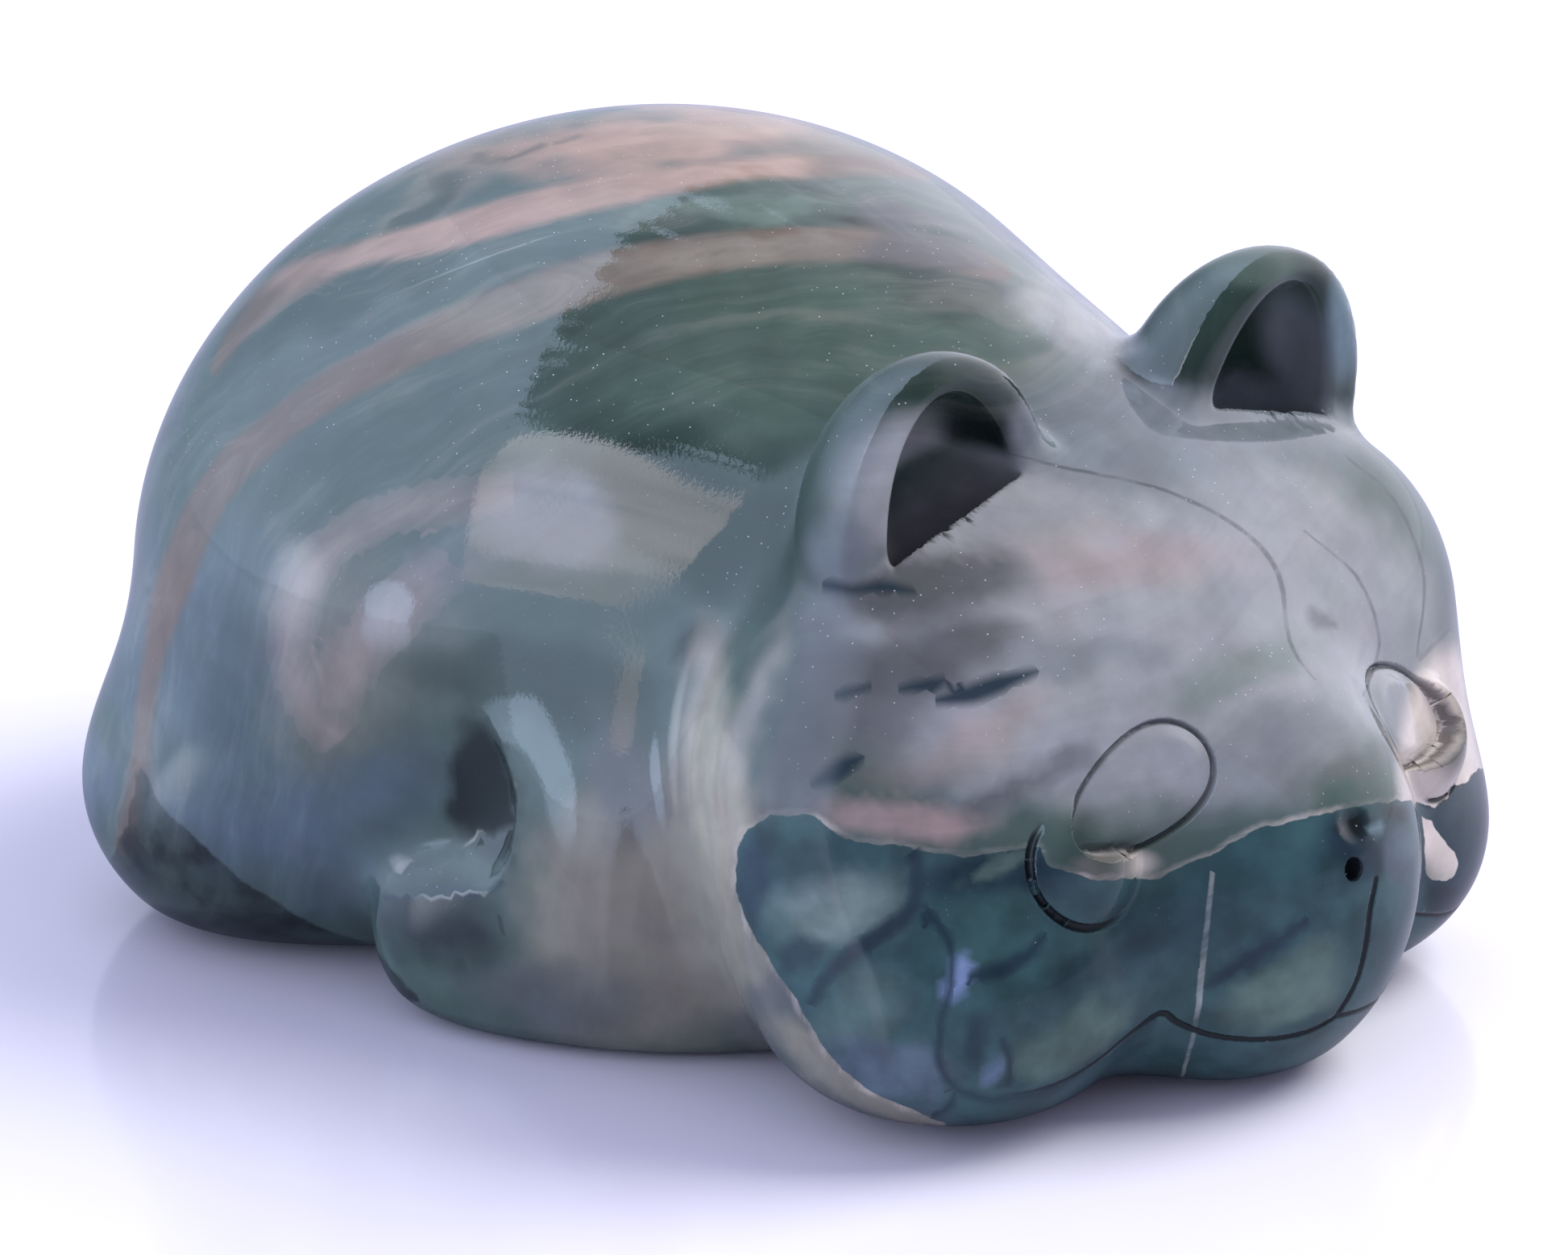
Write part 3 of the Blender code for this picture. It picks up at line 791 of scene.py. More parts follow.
@dataclass(frozen=True)
class Streak:
    """A line or band along a curve in the picture, with knots as (right, down, half width) in its pixels."""

    knots: tuple
    STEP: ClassVar[float] = 24.0
    REACH: ClassVar[float] = 9.0

    def beside(self, seen: Points) -> tuple[Points, Points]:
        """Signed distance of places from the streak's middle, and its half width there."""
        route = curve_through(self.knots, self.STEP)
        margin = route[:, 2].max() + self.REACH
        low, high = route[:, :2].min(0) - margin, route[:, :2].max(0) + margin
        near = np.where(np.all((seen > low) & (seen < high), axis=1))[0]
        signed, half = np.full(len(seen), FAR_AWAY), np.full(len(seen), -FAR_AWAY)
        signed[near], half[near] = beside(route[:, :2], route[:, 2], seen[near])
        half[np.abs(signed) > margin] = -FAR_AWAY
        return signed, half


@dataclass(frozen=True)
class Field2D:
    """An area with a sharp outline in the picture."""

    outline: tuple

    def depth(self, seen: Points) -> Points:
        """How far places in the picture lie inside the outline, in its pixels."""
        corners = np.array(self.outline + self.outline[:1], float)
        away = nearest_on(corners, np.zeros(len(corners)), seen)[0]
        inside = np.zeros(len(seen), bool)
        for (x0, y0), (x1, y1) in zip(corners[:-1], corners[1:]):
            if y0 != y1:
                crossing = (seen[:, 1] < y0) != (seen[:, 1] < y1)
                inside ^= crossing & (seen[:, 0] < x0 + (seen[:, 1] - y0) * (x1 - x0) / (y1 - y0))
        return np.where(inside, away, -away)


@dataclass(frozen=True)
class Markings:
    """The stone's markings, with a few patches of painted shade, reflection and highlight among them, laid
    through it along the picture's own line of sight.
    """

    view: Viewpoint = Viewpoint()
    pixels_in_mm: float = 23.6
    folds: tuple = ((9.0, 36.0), (3.4, 22.0), (1.5, 12.0))
    flow_seed: int = 31
    base: Shade = Shade.GREEN_GREY
    ground: tuple = (
        # The back: green under and between the bands, beige and brown over them
        Cloud(Shade.MOSS, (1010, 430), (330, 150), 8, 1.0, 0.4),
        Cloud(Shade.DEEP_GREEN, (880, 640), (230, 110), -40, 0.95),
        Cloud(Shade.DEEP_GREEN, (440, 372), (210, 48), 30, 0.9),
        Cloud(Shade.TAUPE, (560, 215), (190, 44), 30, 0.6),
        Cloud(Shade.BEIGE, (800, 175), (290, 54), 6, 0.95),
        Cloud(Shade.BEIGE, (1000, 190), (170, 40), -8, 0.3),
        Cloud(Shade.DEEP_GREEN, (500, 262), (95, 26), 35, 0.85),
        Cloud(Shade.DEEP_GREEN, (400, 330), (60, 60), 35, 0.5),
        Cloud(Shade.DEEP_GREEN, (660, 190), (110, 12), 14, 0.7),
        Cloud(Shade.SAGE, (900, 258), (160, 16), 3, 0.8),
        Cloud(Shade.NIGHT, (1085, 283), (110, 15), -5, 0.9),
        Cloud(Shade.DEEP_GREEN, (1165, 345), (130, 56), -24, 0.9),
        Cloud(Shade.DUSK, (1130, 290), (110, 24), -14, 0.8),
        Cloud(Shade.STONE, (1340, 410), (150, 62), -28, 1.0),
        # The near flank: the pink knot in its rings, the blue haze below it and the dark haunch
        Cloud(Shade.HAZE, (270, 800), (190, 190), 0, 0.5),
        Cloud(Shade.TAUPE, (450, 770), (200, 190), 45, 0.55, 1.0),
        Cloud(Shade.TAUPE, (400, 900), (130, 90), 60, 0.4, 1.0),
        Cloud(Shade.GREY, (600, 660), (120, 60), 20, 0.5),
        Cloud(Shade.HAZE, (330, 1030), (260, 130), -20, 0.9, 1.0),
        Cloud(Shade.HAZE, (480, 980), (120, 90), 0, 0.6, 1.0),
        Cloud(Shade.HAZE, (128, 970), (30, 70), 10, 0.6),
        # The shoulder, the arm and the neck
        Cloud(Shade.GREY, (705, 640), (120, 80), -35, 0.9),
        Cloud(Shade.DEEP_GREEN, (700, 850), (150, 70), -10, 0.8),
        Cloud(Shade.DEEP_GREEN, (640, 850), (190, 60), -20, 0.7),
        # Painted shade: the dark reflection in the hollow behind the upper arm
        Cloud(Shade.NIGHT, (597, 985), (50, 112), 8, 0.9, 0.35),
        # A painted dark reflection in the hollow of the neck
        Cloud(Shade.NIGHT, (850, 800), (50, 46), 0, 0.9),
        Cloud(Shade.TAUPE, (820, 1130), (210, 230), 0, 1.0, 0.4),
        Cloud(Shade.DUSK, (765, 960), (50, 110), 12, 0.8),
        Cloud(Shade.DUSK, (690, 1240), (170, 60), -10, 0.8),
        Cloud(Shade.INK, (550, 1150), (110, 75), -14, 1.0, 0.8),
        Cloud(Shade.CREAM, (885, 960), (60, 250), 6, 0.9, 0.7),
        Cloud(Shade.CHALK, (945, 860), (30, 150), -22, 0.4, 1.0),
        Cloud(Shade.DEEP_GREEN, (920, 670), (85, 130), -25, 0.8),
        Cloud(Shade.DUSK, (1000, 920), (60, 190), -14, 0.8, 0.5),
        # The head
        Cloud(Shade.STONE, (1400, 790), (440, 270), 0, 1.0, 0.3),
        Cloud(Shade.GREY, (1480, 520), (350, 130), 0, 0.95),
        Cloud(Shade.NIGHT, (1450, 452), (120, 34), 10, 0.75),
        Cloud(Shade.ROSE, (1380, 692), (230, 56), 3, 0.5, 0.9),
        Cloud(Shade.DUSK, (1150, 735), (170, 62), 5, 1.0),
        Cloud(Shade.DUSK, (1150, 822), (190, 56), 12, 0.95),
        Cloud(Shade.GREY, (1330, 830), (150, 50), 15, 0.6),
        Cloud(Shade.SAGE, (1530, 840), (140, 50), 20, 0.5),
        Cloud(Shade.DUSK, (1060, 850), (100, 90), 0, 0.8),
        Cloud(Shade.ROSE, (1190, 925), (210, 56), 14, 0.45, 0.9),
        Cloud(Shade.ROSE, (1120, 1018), (150, 36), -4, 0.9),
        Cloud(Shade.DUSK, (1270, 985), (120, 24), 14, 0.7),
        Cloud(Shade.GREY, (1610, 920), (150, 60), 20, 0.5),
        Cloud(Shade.DUSK, (1632, 772), (30, 22), 0, 0.7),
        Cloud(Shade.DUSK, (1700, 960), (80, 26), 10, 0.6),
        # The lower jowl, outside the dark mask
        Cloud(Shade.TAUPE, (938, 1235), (30, 60), 10, 0.9),
        Cloud(Shade.DUSK, (965, 1250), (60, 90), -30, 0.8),
        Cloud(Shade.TAUPE, (1060, 1360), (170, 50), -30, 1.0, 0.5),
    )
    # Small patches beside the carved details: the far eye, the near ball and the nose
    face: tuple = (
        Cloud(Shade.CHALK, (1800, 950), (75, 170), 0, 1.0, 0.3),
        Cloud(Shade.CHALK, (1385, 1073), (66, 26), 4, 0.85),
    )
    face_deep: tuple = (
        # The first two are painted shade in the nose's hollows, the third a painted highlight on it
        Cloud(Shade.NIGHT, (1680, 1024), (32, 24), 20, 0.95),
        Cloud(Shade.NIGHT, (1732, 1008), (26, 16), -20, 0.8),
        Cloud(Shade.ICE, (1706, 1028), (14, 12), 0, 0.7),
        Cloud(Shade.HAZE, (1735, 1060), (26, 50), 0, 0.6),
        Cloud(Shade.SLATE, (1825, 1060), (70, 150), 0, 0.8, 0.3),
        Cloud(Shade.INK, (1790, 1120), (30, 30), 0, 0.5),
    )
    # The ears: dark green rims round pale scoops, greyer at the roots. The near scoop's paleness is partly
    # painted light
    ears: tuple = (
        # Partly painted light: light shining through the thin ear, painted as paler stone in the near scoop
        Cloud(Shade.STONE, (1120, 600), (120, 100), 45, 0.9, 0.5),
        Cloud(Shade.GREY, (1045, 690), (60, 70), 0, 0.9),
        Cloud(Shade.NIGHT, (1215, 540), (70, 46), -25, 0.9),
        Cloud(Shade.GREY, (1280, 540), (40, 60), 0, 0.8),
        Cloud(Shade.MOSS, (1560, 330), (80, 36), 0, 0.9),
        Cloud(Shade.GREY, (1612, 430), (60, 100), 20, 0.8),
        Cloud(Shade.ICE, (1668, 400), (30, 100), 0, 0.7),
    )
    # Inside the dark masks
    deep: tuple = (
        Cloud(Shade.CELADON, (1045, 1135), (115, 60), 14, 0.9, 0.7),
        Cloud(Shade.SAGE, (1065, 1270), (110, 60), 40, 0.3),
        Cloud(Shade.HAZE, (1110, 1350), (120, 60), -20, 0.8),
        Cloud(Shade.SAGE, (1320, 1290), (110, 45), 25, 0.5),
        Cloud(Shade.SAGE, (1600, 1225), (130, 50), 25, 0.7),
        Cloud(Shade.SLATE, (1440, 1150), (120, 60), 20, 0.5),
        Cloud(Shade.SLATE, (1230, 1095), (140, 36), 0, 0.9),
        Cloud(Shade.SLATE, (945, 1110), (36, 90), 0, 0.9),
        Cloud(Shade.SLATE, (1010, 1190), (60, 30), 20, 0.7),
        Cloud(Shade.SLATE, (1350, 1200), (110, 36), 15, 0.6),
        Cloud(Shade.SLATE, (1560, 1180), (110, 26), 32, 0.7),
        Cloud(Shade.SLATE, (1200, 1295), (22, 46), 0, 0.8),
        Cloud(Shade.SLATE, (1690, 1060), (70, 60), 0, 0.9),
        Cloud(Shade.BLUE, (1178, 1218), (20, 34), -25, 0.9),
        Cloud(Shade.BLUE, (1235, 1335), (24, 24), 0, 0.5),
        Cloud(Shade.SAGE, (1240, 1095), (50, 12), 20, 0.5),
    )
    # The two beige bands over the back, and their own changes of colour
    bands: tuple = (
        Streak(((155, 1065, 14), (172, 950, 11), (190, 820, 14), (225, 700, 24), (280, 590, 24), (400, 490, 24),
                (520, 428, 24), (640, 378, 28), (760, 338, 30), (900, 312, 24), (1040, 303, 22),
                (1180, 316, 20), (1260, 345, 8))),
        Streak(((262, 468, 3), (300, 405, 14), (370, 345, 18), (460, 312, 16), (560, 287, 20), (690, 250, 22),
                (820, 224, 18), (940, 208, 14), (1080, 205, 12), (1160, 220, 4))),
    )
    banded: tuple = (
        Cloud(Shade.BEIGE, (690, 250), (460, 70), 14, 0.9, 0.4),
        Cloud(Shade.TAUPE, (690, 372), (220, 60), 16, 0.8),
        Cloud(Shade.TAUPE, (920, 318), (240, 44), 0, 0.9),
        Cloud(Shade.DUSK, (1150, 320), (120, 50), 0, 0.9),
    )
    # The dark masks: over the muzzle and the near jowl, and on the far cheek
    masks: tuple = (
        Field2D((
            (915, 1052), (925, 1030), (960, 1010), (1010, 1012), (1035, 1030), (1050, 1043), (1110, 1048),
            (1190, 1064), (1290, 1050), (1300, 1075), (1360, 1092), (1440, 1088), (1500, 1062), (1560, 1028),
            (1650, 1008), (1700, 996), (1750, 992), (1765, 1010), (1772, 1100), (1760, 1180), (1900, 1300),
            (1500, 1500), (1230, 1420), (1150, 1385), (1075, 1352), (1025, 1306), (1000, 1262), (975, 1222),
            (930, 1150), (914, 1110))),
        Field2D((
            (1850, 950), (1830, 957), (1820, 972), (1800, 976), (1796, 990), (1780, 1001), (1758, 994),
            (1755, 1012), (1776, 1018), (1788, 1036), (1801, 1052), (1813, 1072), (1805, 1090), (1776, 1094),
            (1766, 1086), (1768, 1130), (1756, 1160), (1850, 1300), (1950, 1000))),
    )
    # The dark foot of the haunch: dark stone with a painted dark reflection of the shaded floor, outlined where
    # the mirrored surround ends on it
    haunch: Field2D = Field2D((
        (172, 950), (205, 1005), (250, 1045), (300, 1092), (340, 1118), (395, 1150), (460, 1172), (520, 1240),
        (300, 1300), (90, 1170), (128, 1085), (158, 1020)))
    # A duller patch in the valley between shoulder and near cheek. It softens an edge that this studio's surround
    # mirrors there and that the picture doesn't show; the real stone's polish there isn't known
    valley: Cloud = Cloud(Shade.DUSK, (1000, 790), (130, 330), -10, 1.0, 0.6)
    # The pink rings on the flank, then the dark dashes, the veins in the mask, the pale veins and the cracks
    swirl: tuple = (
        Streak(((640, 612, 6), (560, 622, 22), (480, 640, 24), (410, 680, 20), (368, 740, 16), (362, 810, 16),
                (385, 880, 20), (430, 925, 10))),
        Streak(((560, 690, 6), (515, 735, 30), (470, 780, 34), (430, 830, 26), (412, 880, 14))),
    )
    ink: tuple = (
        Streak(((1003, 976, 1), (1030, 962, 12), (1050, 950, 12), (1076, 936, 2))),
        Streak(((1034, 864, 3), (1050, 860, 8), (1085, 850, 2))),
        Streak(((1112, 856, 3), (1150, 850, 8), (1185, 842, 3))),
        Streak(((1156, 869, 4), (1200, 863, 12), (1240, 848, 12), (1290, 832, 3))),
        Streak(((1014, 724, 3), (1030, 726, 8), (1060, 732, 4), (1092, 728, 9), (1140, 734, 2))),
        Streak(((475, 1112, 4), (550, 1106, 7), (600, 1108, 4), (628, 1090, 1))),
    )
    network: tuple = (
        Streak(((1132, 1052, 10), (1140, 1090, 9), (1130, 1128, 9), (1085, 1165, 12), (1035, 1200, 10),
                (1003, 1250, 6))),
        Streak(((1135, 1120, 7), (1164, 1144, 7), (1183, 1192, 5), (1172, 1250, 4), (1164, 1304, 4),
                (1180, 1345, 4), (1215, 1362, 4), (1267, 1362, 4), (1321, 1343, 4), (1378, 1304, 4),
                (1436, 1262, 3))),
        Streak(((1198, 1214, 6), (1244, 1202, 11), (1275, 1185, 9), (1300, 1158, 3))),
        Streak(((1244, 1285, 3), (1252, 1320, 4), (1250, 1350, 2))),
        Streak(((1492, 1226, 3), (1550, 1190, 7), (1625, 1140, 4))),
        Streak(((1155, 1388, 2), (1180, 1372, 4), (1186, 1350, 2))),
    )
    veins: tuple = (
        Streak(((1505, 1078, 3), (1500, 1130, 3), (1492, 1200, 4), (1484, 1270, 3), (1466, 1340, 2))),
        Streak(((400, 402, -2), (520, 352, 0), (650, 303, 0.5), (760, 272, -2))),
    )
    cracks: tuple = (
        Streak(((1250, 562, 1), (1321, 580, 2), (1444, 608, 2), (1539, 656, 2.5), (1587, 713, 3),
                (1601, 798, 2.5), (1634, 846, 1))),
        Streak(((1615, 656, 1), (1682, 713, 2), (1710, 779, 2), (1708, 820, 2), (1691, 865, 1))),
        Streak(((1663, 561, 1), (1729, 618, 2), (1767, 713, 2), (1758, 817, 1))),
        Streak(((1758, 822, 2), (1780, 800, 3), (1802, 778, 1))),
        Streak(((618, 1128, 2), (622, 1150, 3), (628, 1168, 1))),
    )

    def warped(self, points: Points, seen: Points) -> Points:
        """Places in the picture, pushed about as the stone's own flow bends its markings."""
        noise.seed_set(self.flow_seed)
        pushed = seen.copy()
        for size_mm, reach in self.folds:
            pushed += reach * np.array([noise.noise_vector(Vector(p) / size_mm)[:2] for p in points])
        return pushed

    def painted(self, seen: Points, start: Union[Shade, Points], clouds: tuple) -> Points:
        """Lay patches of colour one over another.

        Args:
            seen: places in the picture.
            start: the colour under them all, or one linear colour for each place.
            clouds: the patches, the lowest first.

        Returns:
            One linear colour for each place.
        """
        colour = np.tile(linear(start.value), (len(seen), 1)) if isinstance(start, Shade) else start
        for cloud in clouds:
            cover = cloud.cover(seen)[:, None]
            colour = colour * (1.0 - cover) + np.array(linear(cloud.shade.value)) * cover
        return colour

    def write_to(self, mesh: bpy.types.Mesh, points: Points, on_ear: Points) -> None:
        """Store the markings on a mesh, for its finish to read.

        Args:
            mesh: the carving's mesh.
            points: its vertices, in mm.
            on_ear: how far each belongs to an ear, from 0 to 1.
        """
        seen = self.view.seen(points)
        pushed = self.warped(points, seen)
        ground = self.painted(seen, self.painted(pushed, self.base, self.ground), self.face)
        ears = self.painted(seen, Shade.DEEP_GREEN, self.ears)
        self.store_colour(mesh, "ground", ground + (ears - ground) * on_ear[:, None])
        deep = self.painted(seen, self.painted(pushed, Shade.TEAL, self.deep), self.face_deep)
        self.store_colour(mesh, "deep", deep)
        self.store_colour(mesh, "banded", self.painted(pushed, Shade.UMBER, self.banded))
        depths = [half - np.abs(away) for away, half in (band.beside(seen) for band in self.bands)]
        self.store(mesh, "bands", np.clip(np.max(depths, 0), -FAR_AWAY, None) / self.pixels_in_mm)
        for name in ("swirl", "ink", "network", "veins", "cracks"):
            signed, half = np.full(len(seen), FAR_AWAY), np.full(len(seen), -FAR_AWAY)
            for streak in getattr(self, name):
                away, width = streak.beside(seen)
                closer = np.abs(away) - width < np.abs(signed) - half
                signed, half = np.where(closer, away, signed), np.where(closer, width, half)
            self.store(mesh, name, signed / self.pixels_in_mm)
            self.store(mesh, name + "_half", half / self.pixels_in_mm)
        layer = curve_through(self.bands[0].knots, Streak.STEP)
        self.store(mesh, "layer", nearest_on(layer[:, :2], layer[:, 2], seen)[0] / self.pixels_in_mm)
        masked = np.max([mask.depth(seen) for mask in self.masks], 0)
        self.store(mesh, "muzzle", masked / self.pixels_in_mm)
        self.store(mesh, "haunch", self.haunch.depth(seen) / self.pixels_in_mm)
        self.store(mesh, "valley", self.valley.cover(seen))

    @staticmethod
    def store(mesh: bpy.types.Mesh, name: str, values: Points) -> None:
        """Store one number for each vertex."""
        mesh.attributes.new(name, "FLOAT", "POINT").data.foreach_set(
            "value", np.ascontiguousarray(values, np.float32))

    @staticmethod
    def store_colour(mesh: bpy.types.Mesh, name: str, values: Points) -> None:
        """Store one colour for each vertex."""
        mesh.attributes.new(name, "FLOAT_COLOR", "POINT").data.foreach_set(
            "color", np.ascontiguousarray(values, np.float32).ravel())


# How a value is eased from one range into another
SMOOTH = {"interpolation_type": "SMOOTHSTEP"}


def add_node(tree: bpy.types.NodeTree, kind: str, settings: Optional[dict] = None,
             *inputs: object) -> bpy.types.Node:
    """Add one node with its settings and links.

    Args:
        tree: the node tree that it joins.
        kind: the node's type, as Blender names it after the word ShaderNode.
        settings: the node's own fields by their lower-case names, and inputs by title or number.
        inputs: what goes into the node's inputs, in their order. Here and in settings, an input takes a value
            or an output socket to link it to.

    Returns:
        The node.
    """
    node = tree.nodes.new("ShaderNode" + kind)
    for name, value in [*(settings or {}).items(), *enumerate(inputs)]:
        if isinstance(name, str) and name[0].islower():
            setattr(node, name, value)
        elif isinstance(value, bpy.types.NodeSocket):
            tree.links.new(value, node.inputs[name])
        else:
            node.inputs[name].default_value = value
    return node


@dataclass(frozen=True)
class Trait:
    """How one kind of marking shows over the colour below it.

    It reads a stored depth in mm, bent by a wobble, and comes in over the two depths in edge. Then shows holds
    a low and a high value of the noise that it is patchy with, and how much of it shows at each. A line reads a
    distance from its middle and its half width instead of a depth.
    """

    reads: str
    wobble: str
    edge: tuple[float, float]
    colour: Union[Shade, str]
    shows: tuple[float, float, float, float] = (0.0, 1.0, 1.0, 1.0)
    patchy: str = "layers"
    line: bool = False


@dataclass(frozen=True)
class PolishedJade:
    """Serpentine-like jade: carved, sanded and buffed with tin oxide to a wet gloss.

    To the eye it is a hard, clear reflection over a cloudy, layered body colour, with fine dust lying on it.
    Real dust of about 0.02 mm is too fine to show, so its specks are drawn at about 0.1 mm across.
    """

    ior: float = 1.5
    roughness: float = 0.03
    gloss_swing: tuple[float, float] = (0.6, 1.6)
    buffing_ends: tuple[float, float] = (0.2, 0.8)
    dull_roughness: float = 0.45
    layer_mm: float = 1.3
    along_layer_mm: float = 11.0
    layer_detail: float = 6.0
    layer_roughness: float = 0.62
    fold_reach_mm: float = 4.0
    tint_mm: float = 4.0
    tint_detail: float = 7.0
    tint_share: float = 0.08
    dirt_and_shade_mm: tuple[float, float] = (0.008, 0.075)
    dirt_and_shade_share: float = 0.95
    dust_apart_mm: float = 0.5
    dust_radius: float = 0.1
    dust_share: float = 0.7
    dust_soft: float = 0.6
    dust_upward: tuple[float, float] = (0.0, 0.7)
    dust_drifts: tuple[float, float] = (0.45, 0.6)
    peel_mm: float = 0.0025
    # Even noises: name, size of the features in mm, and how far their detail goes
    grains: tuple = (("folds", 9.0, 2.0), ("edges", 1.1, 5.0), ("hairs", 1.1, 3.0), ("haze", 2.6, 6.0),
                     ("clouds", 2.6, 8.0), ("drifts", 5.0, 3.0), ("buffing", 3.0, 6.0), ("peel", 0.22, 2.0))
    # Wobbles of the markings' edges: name, the noise behind it, and its reach in mm
    wobbles: tuple = (("ragged", "edges", 0.5), ("streaky", "layers", 0.9), ("slight", "hairs", 0.12))
    stored: tuple = ("ground", "deep", "banded", "layer", "valley", "dirt_and_shade")
    traits: tuple = (
        Trait("bands", "streaky", (-0.3, 0.35), "banded"),
        Trait("layer", "", (12.0, 3.0), Shade.TAUPE, (0.5, 0.68, 0.0, 0.25)),
        Trait("muzzle", "ragged", (-0.40, -0.05), Shade.CHALK, (0.4, 0.7, 0.05, 0.5)),
        Trait("muzzle", "ragged", (-0.04, 0.04), "deep"),
        # The haunch's dark foot: dark stone and a painted dark reflection of the shaded floor
        Trait("haunch", "ragged", (-0.1, 0.1), Shade.NIGHT, (0.3, 0.6, 0.95, 0.6), "haze"),
        Trait("swirl", "streaky", (-1.6, 1.6), Shade.ROSE, (0.0, 1.0, 0.5, 0.5), line=True),
        Trait("network", "ragged", (-0.35, 0.35), Shade.SLATE, (0.0, 1.0, 0.95, 0.95), line=True),
        Trait("ink", "slight", (-0.4, 0.4), Shade.SLATE, (0.0, 1.0, 0.95, 0.95), line=True),
        Trait("cracks", "slight", (-0.06, 0.06), Shade.INK, (0.35, 0.6, 0.15, 0.5), line=True),
        Trait("veins", "slight", (-0.06, 0.06), Shade.VEIN, (0.35, 0.6, 0.15, 0.55), line=True),
    )
    # Lighter and darker stone: the noise, its ends and swing, and the stored depth that makes it weak or strong
    shading: tuple = (("clouds", (0.25, 0.75, -1.0, 1.0), "muzzle", (-0.5, 0.5, 0.12, 0.32)),
                      ("layers", (0.3, 0.7, -0.2, 0.2), "layer", (14.0, 4.0, 0.25, 0.9)))

    def make(self) -> bpy.types.Material:
        """Build the material."""
        stone = bpy.data.materials.new("polished_banded_jade")
        stone.use_nodes = True
        tree = stone.node_tree
        shader = tree.nodes["Principled BSDF"]
        place = add_node(tree, "TexCoord").outputs["Object"]
        names = dict.fromkeys(self.stored + tuple(trait.reads for trait in self.traits))
        stored = {name: add_node(tree, "Attribute", {"attribute_name": name}).outputs for name in names}
        noises = self.add_noises(tree, place, stored["layer"]["Fac"])
        colour = self.mark(tree, place, stored, noises)
        # The fine cuts go towards ink: dirt left in them, and painted shade in the grooves
        dirt_and_shade = add_node(tree, "MapRange", SMOOTH, stored["dirt_and_shade"]["Fac"], *self.dirt_and_shade_mm, 0.0,
                        self.dirt_and_shade_share).outputs[0]
        colour = add_node(tree, "Mix", {"data_type": "RGBA", 0: dirt_and_shade, 6: colour,
                                        7: linear(Shade.INK.value)}).outputs[2]
        dust = self.lay_dust(tree, place, noises["drifts"])
        colour = add_node(tree, "Mix", {"data_type": "RGBA", 0: dust, 6: colour,
                                        7: linear(Shade.DUST.value)}).outputs[2]
        tree.links.new(colour, shader.inputs["Base Color"])
        shader.inputs["IOR"].default_value = self.ior
        sharp, dull = (self.roughness * swing for swing in self.gloss_swing)
        rough = add_node(tree, "MapRange", SMOOTH, noises["buffing"], *self.buffing_ends, sharp,
                         dull).outputs[0]
        matt = stored["valley"]["Fac"]
        for cover in (dust, dirt_and_shade):
            matt = add_node(tree, "Math", {"operation": "MAXIMUM"}, matt, cover).outputs[0]
        rough = add_node(tree, "Math", {"operation": "MULTIPLY_ADD"}, matt, self.dull_roughness,
                         rough).outputs[0]
        tree.links.new(rough, shader.inputs["Roughness"])
        peel = add_node(tree, "Bump", {"Strength": 1.0, "Distance": self.peel_mm * MM,
                                       "Height": noises["peel"]})
        tree.links.new(peel.outputs[0], shader.inputs["Normal"])
        return stone

    def add_noises(self, tree: bpy.types.NodeTree, place: bpy.types.NodeSocket,
                   layer: bpy.types.NodeSocket) -> dict[str, bpy.types.NodeSocket]:
        """Add the even noises, the one that is drawn out along the stone's layers, and the wobbles.

        Args:
            tree: the material's node tree.
            place: the place on the piece.
            layer: how far the place is from the stone's main band, in mm.

        Returns:
            Each noise under its name.
        """
        noises = {}
        for name, size_mm, detail in self.grains:
            noises[name] = add_node(tree, "TexNoise", {"Scale": 1.0 / (size_mm * MM), "Detail": detail,
                                                       "Vector": place}).outputs["Fac"]
        folded = add_node(tree, "Math", {"operation": "MULTIPLY_ADD"}, noises["folds"], self.fold_reach_mm,
                          layer).outputs[0]
        number = add_node(tree, "Math", {"operation": "MULTIPLY"}, folded, 1.0 / self.layer_mm).outputs[0]
        across = add_node(tree, "CombineXYZ", {"X": number}).outputs[0]
        along = 1.0 / (self.along_layer_mm * MM)
        laid = add_node(tree, "VectorMath", {"operation": "MULTIPLY_ADD"}, place, (along,) * 3,
                        across).outputs[0]
        noises["layers"] = add_node(tree, "TexNoise", {"Scale": 1.0, "Detail": self.layer_detail,
                                                       "Roughness": self.layer_roughness,
                                                       "Vector": laid}).outputs["Fac"]
        for name, source, reach in self.wobbles:
            noises[name] = add_node(tree, "Math", {"operation": "MULTIPLY_ADD"}, noises[source], reach,
                                    -0.5 * reach).outputs[0]
        return noises

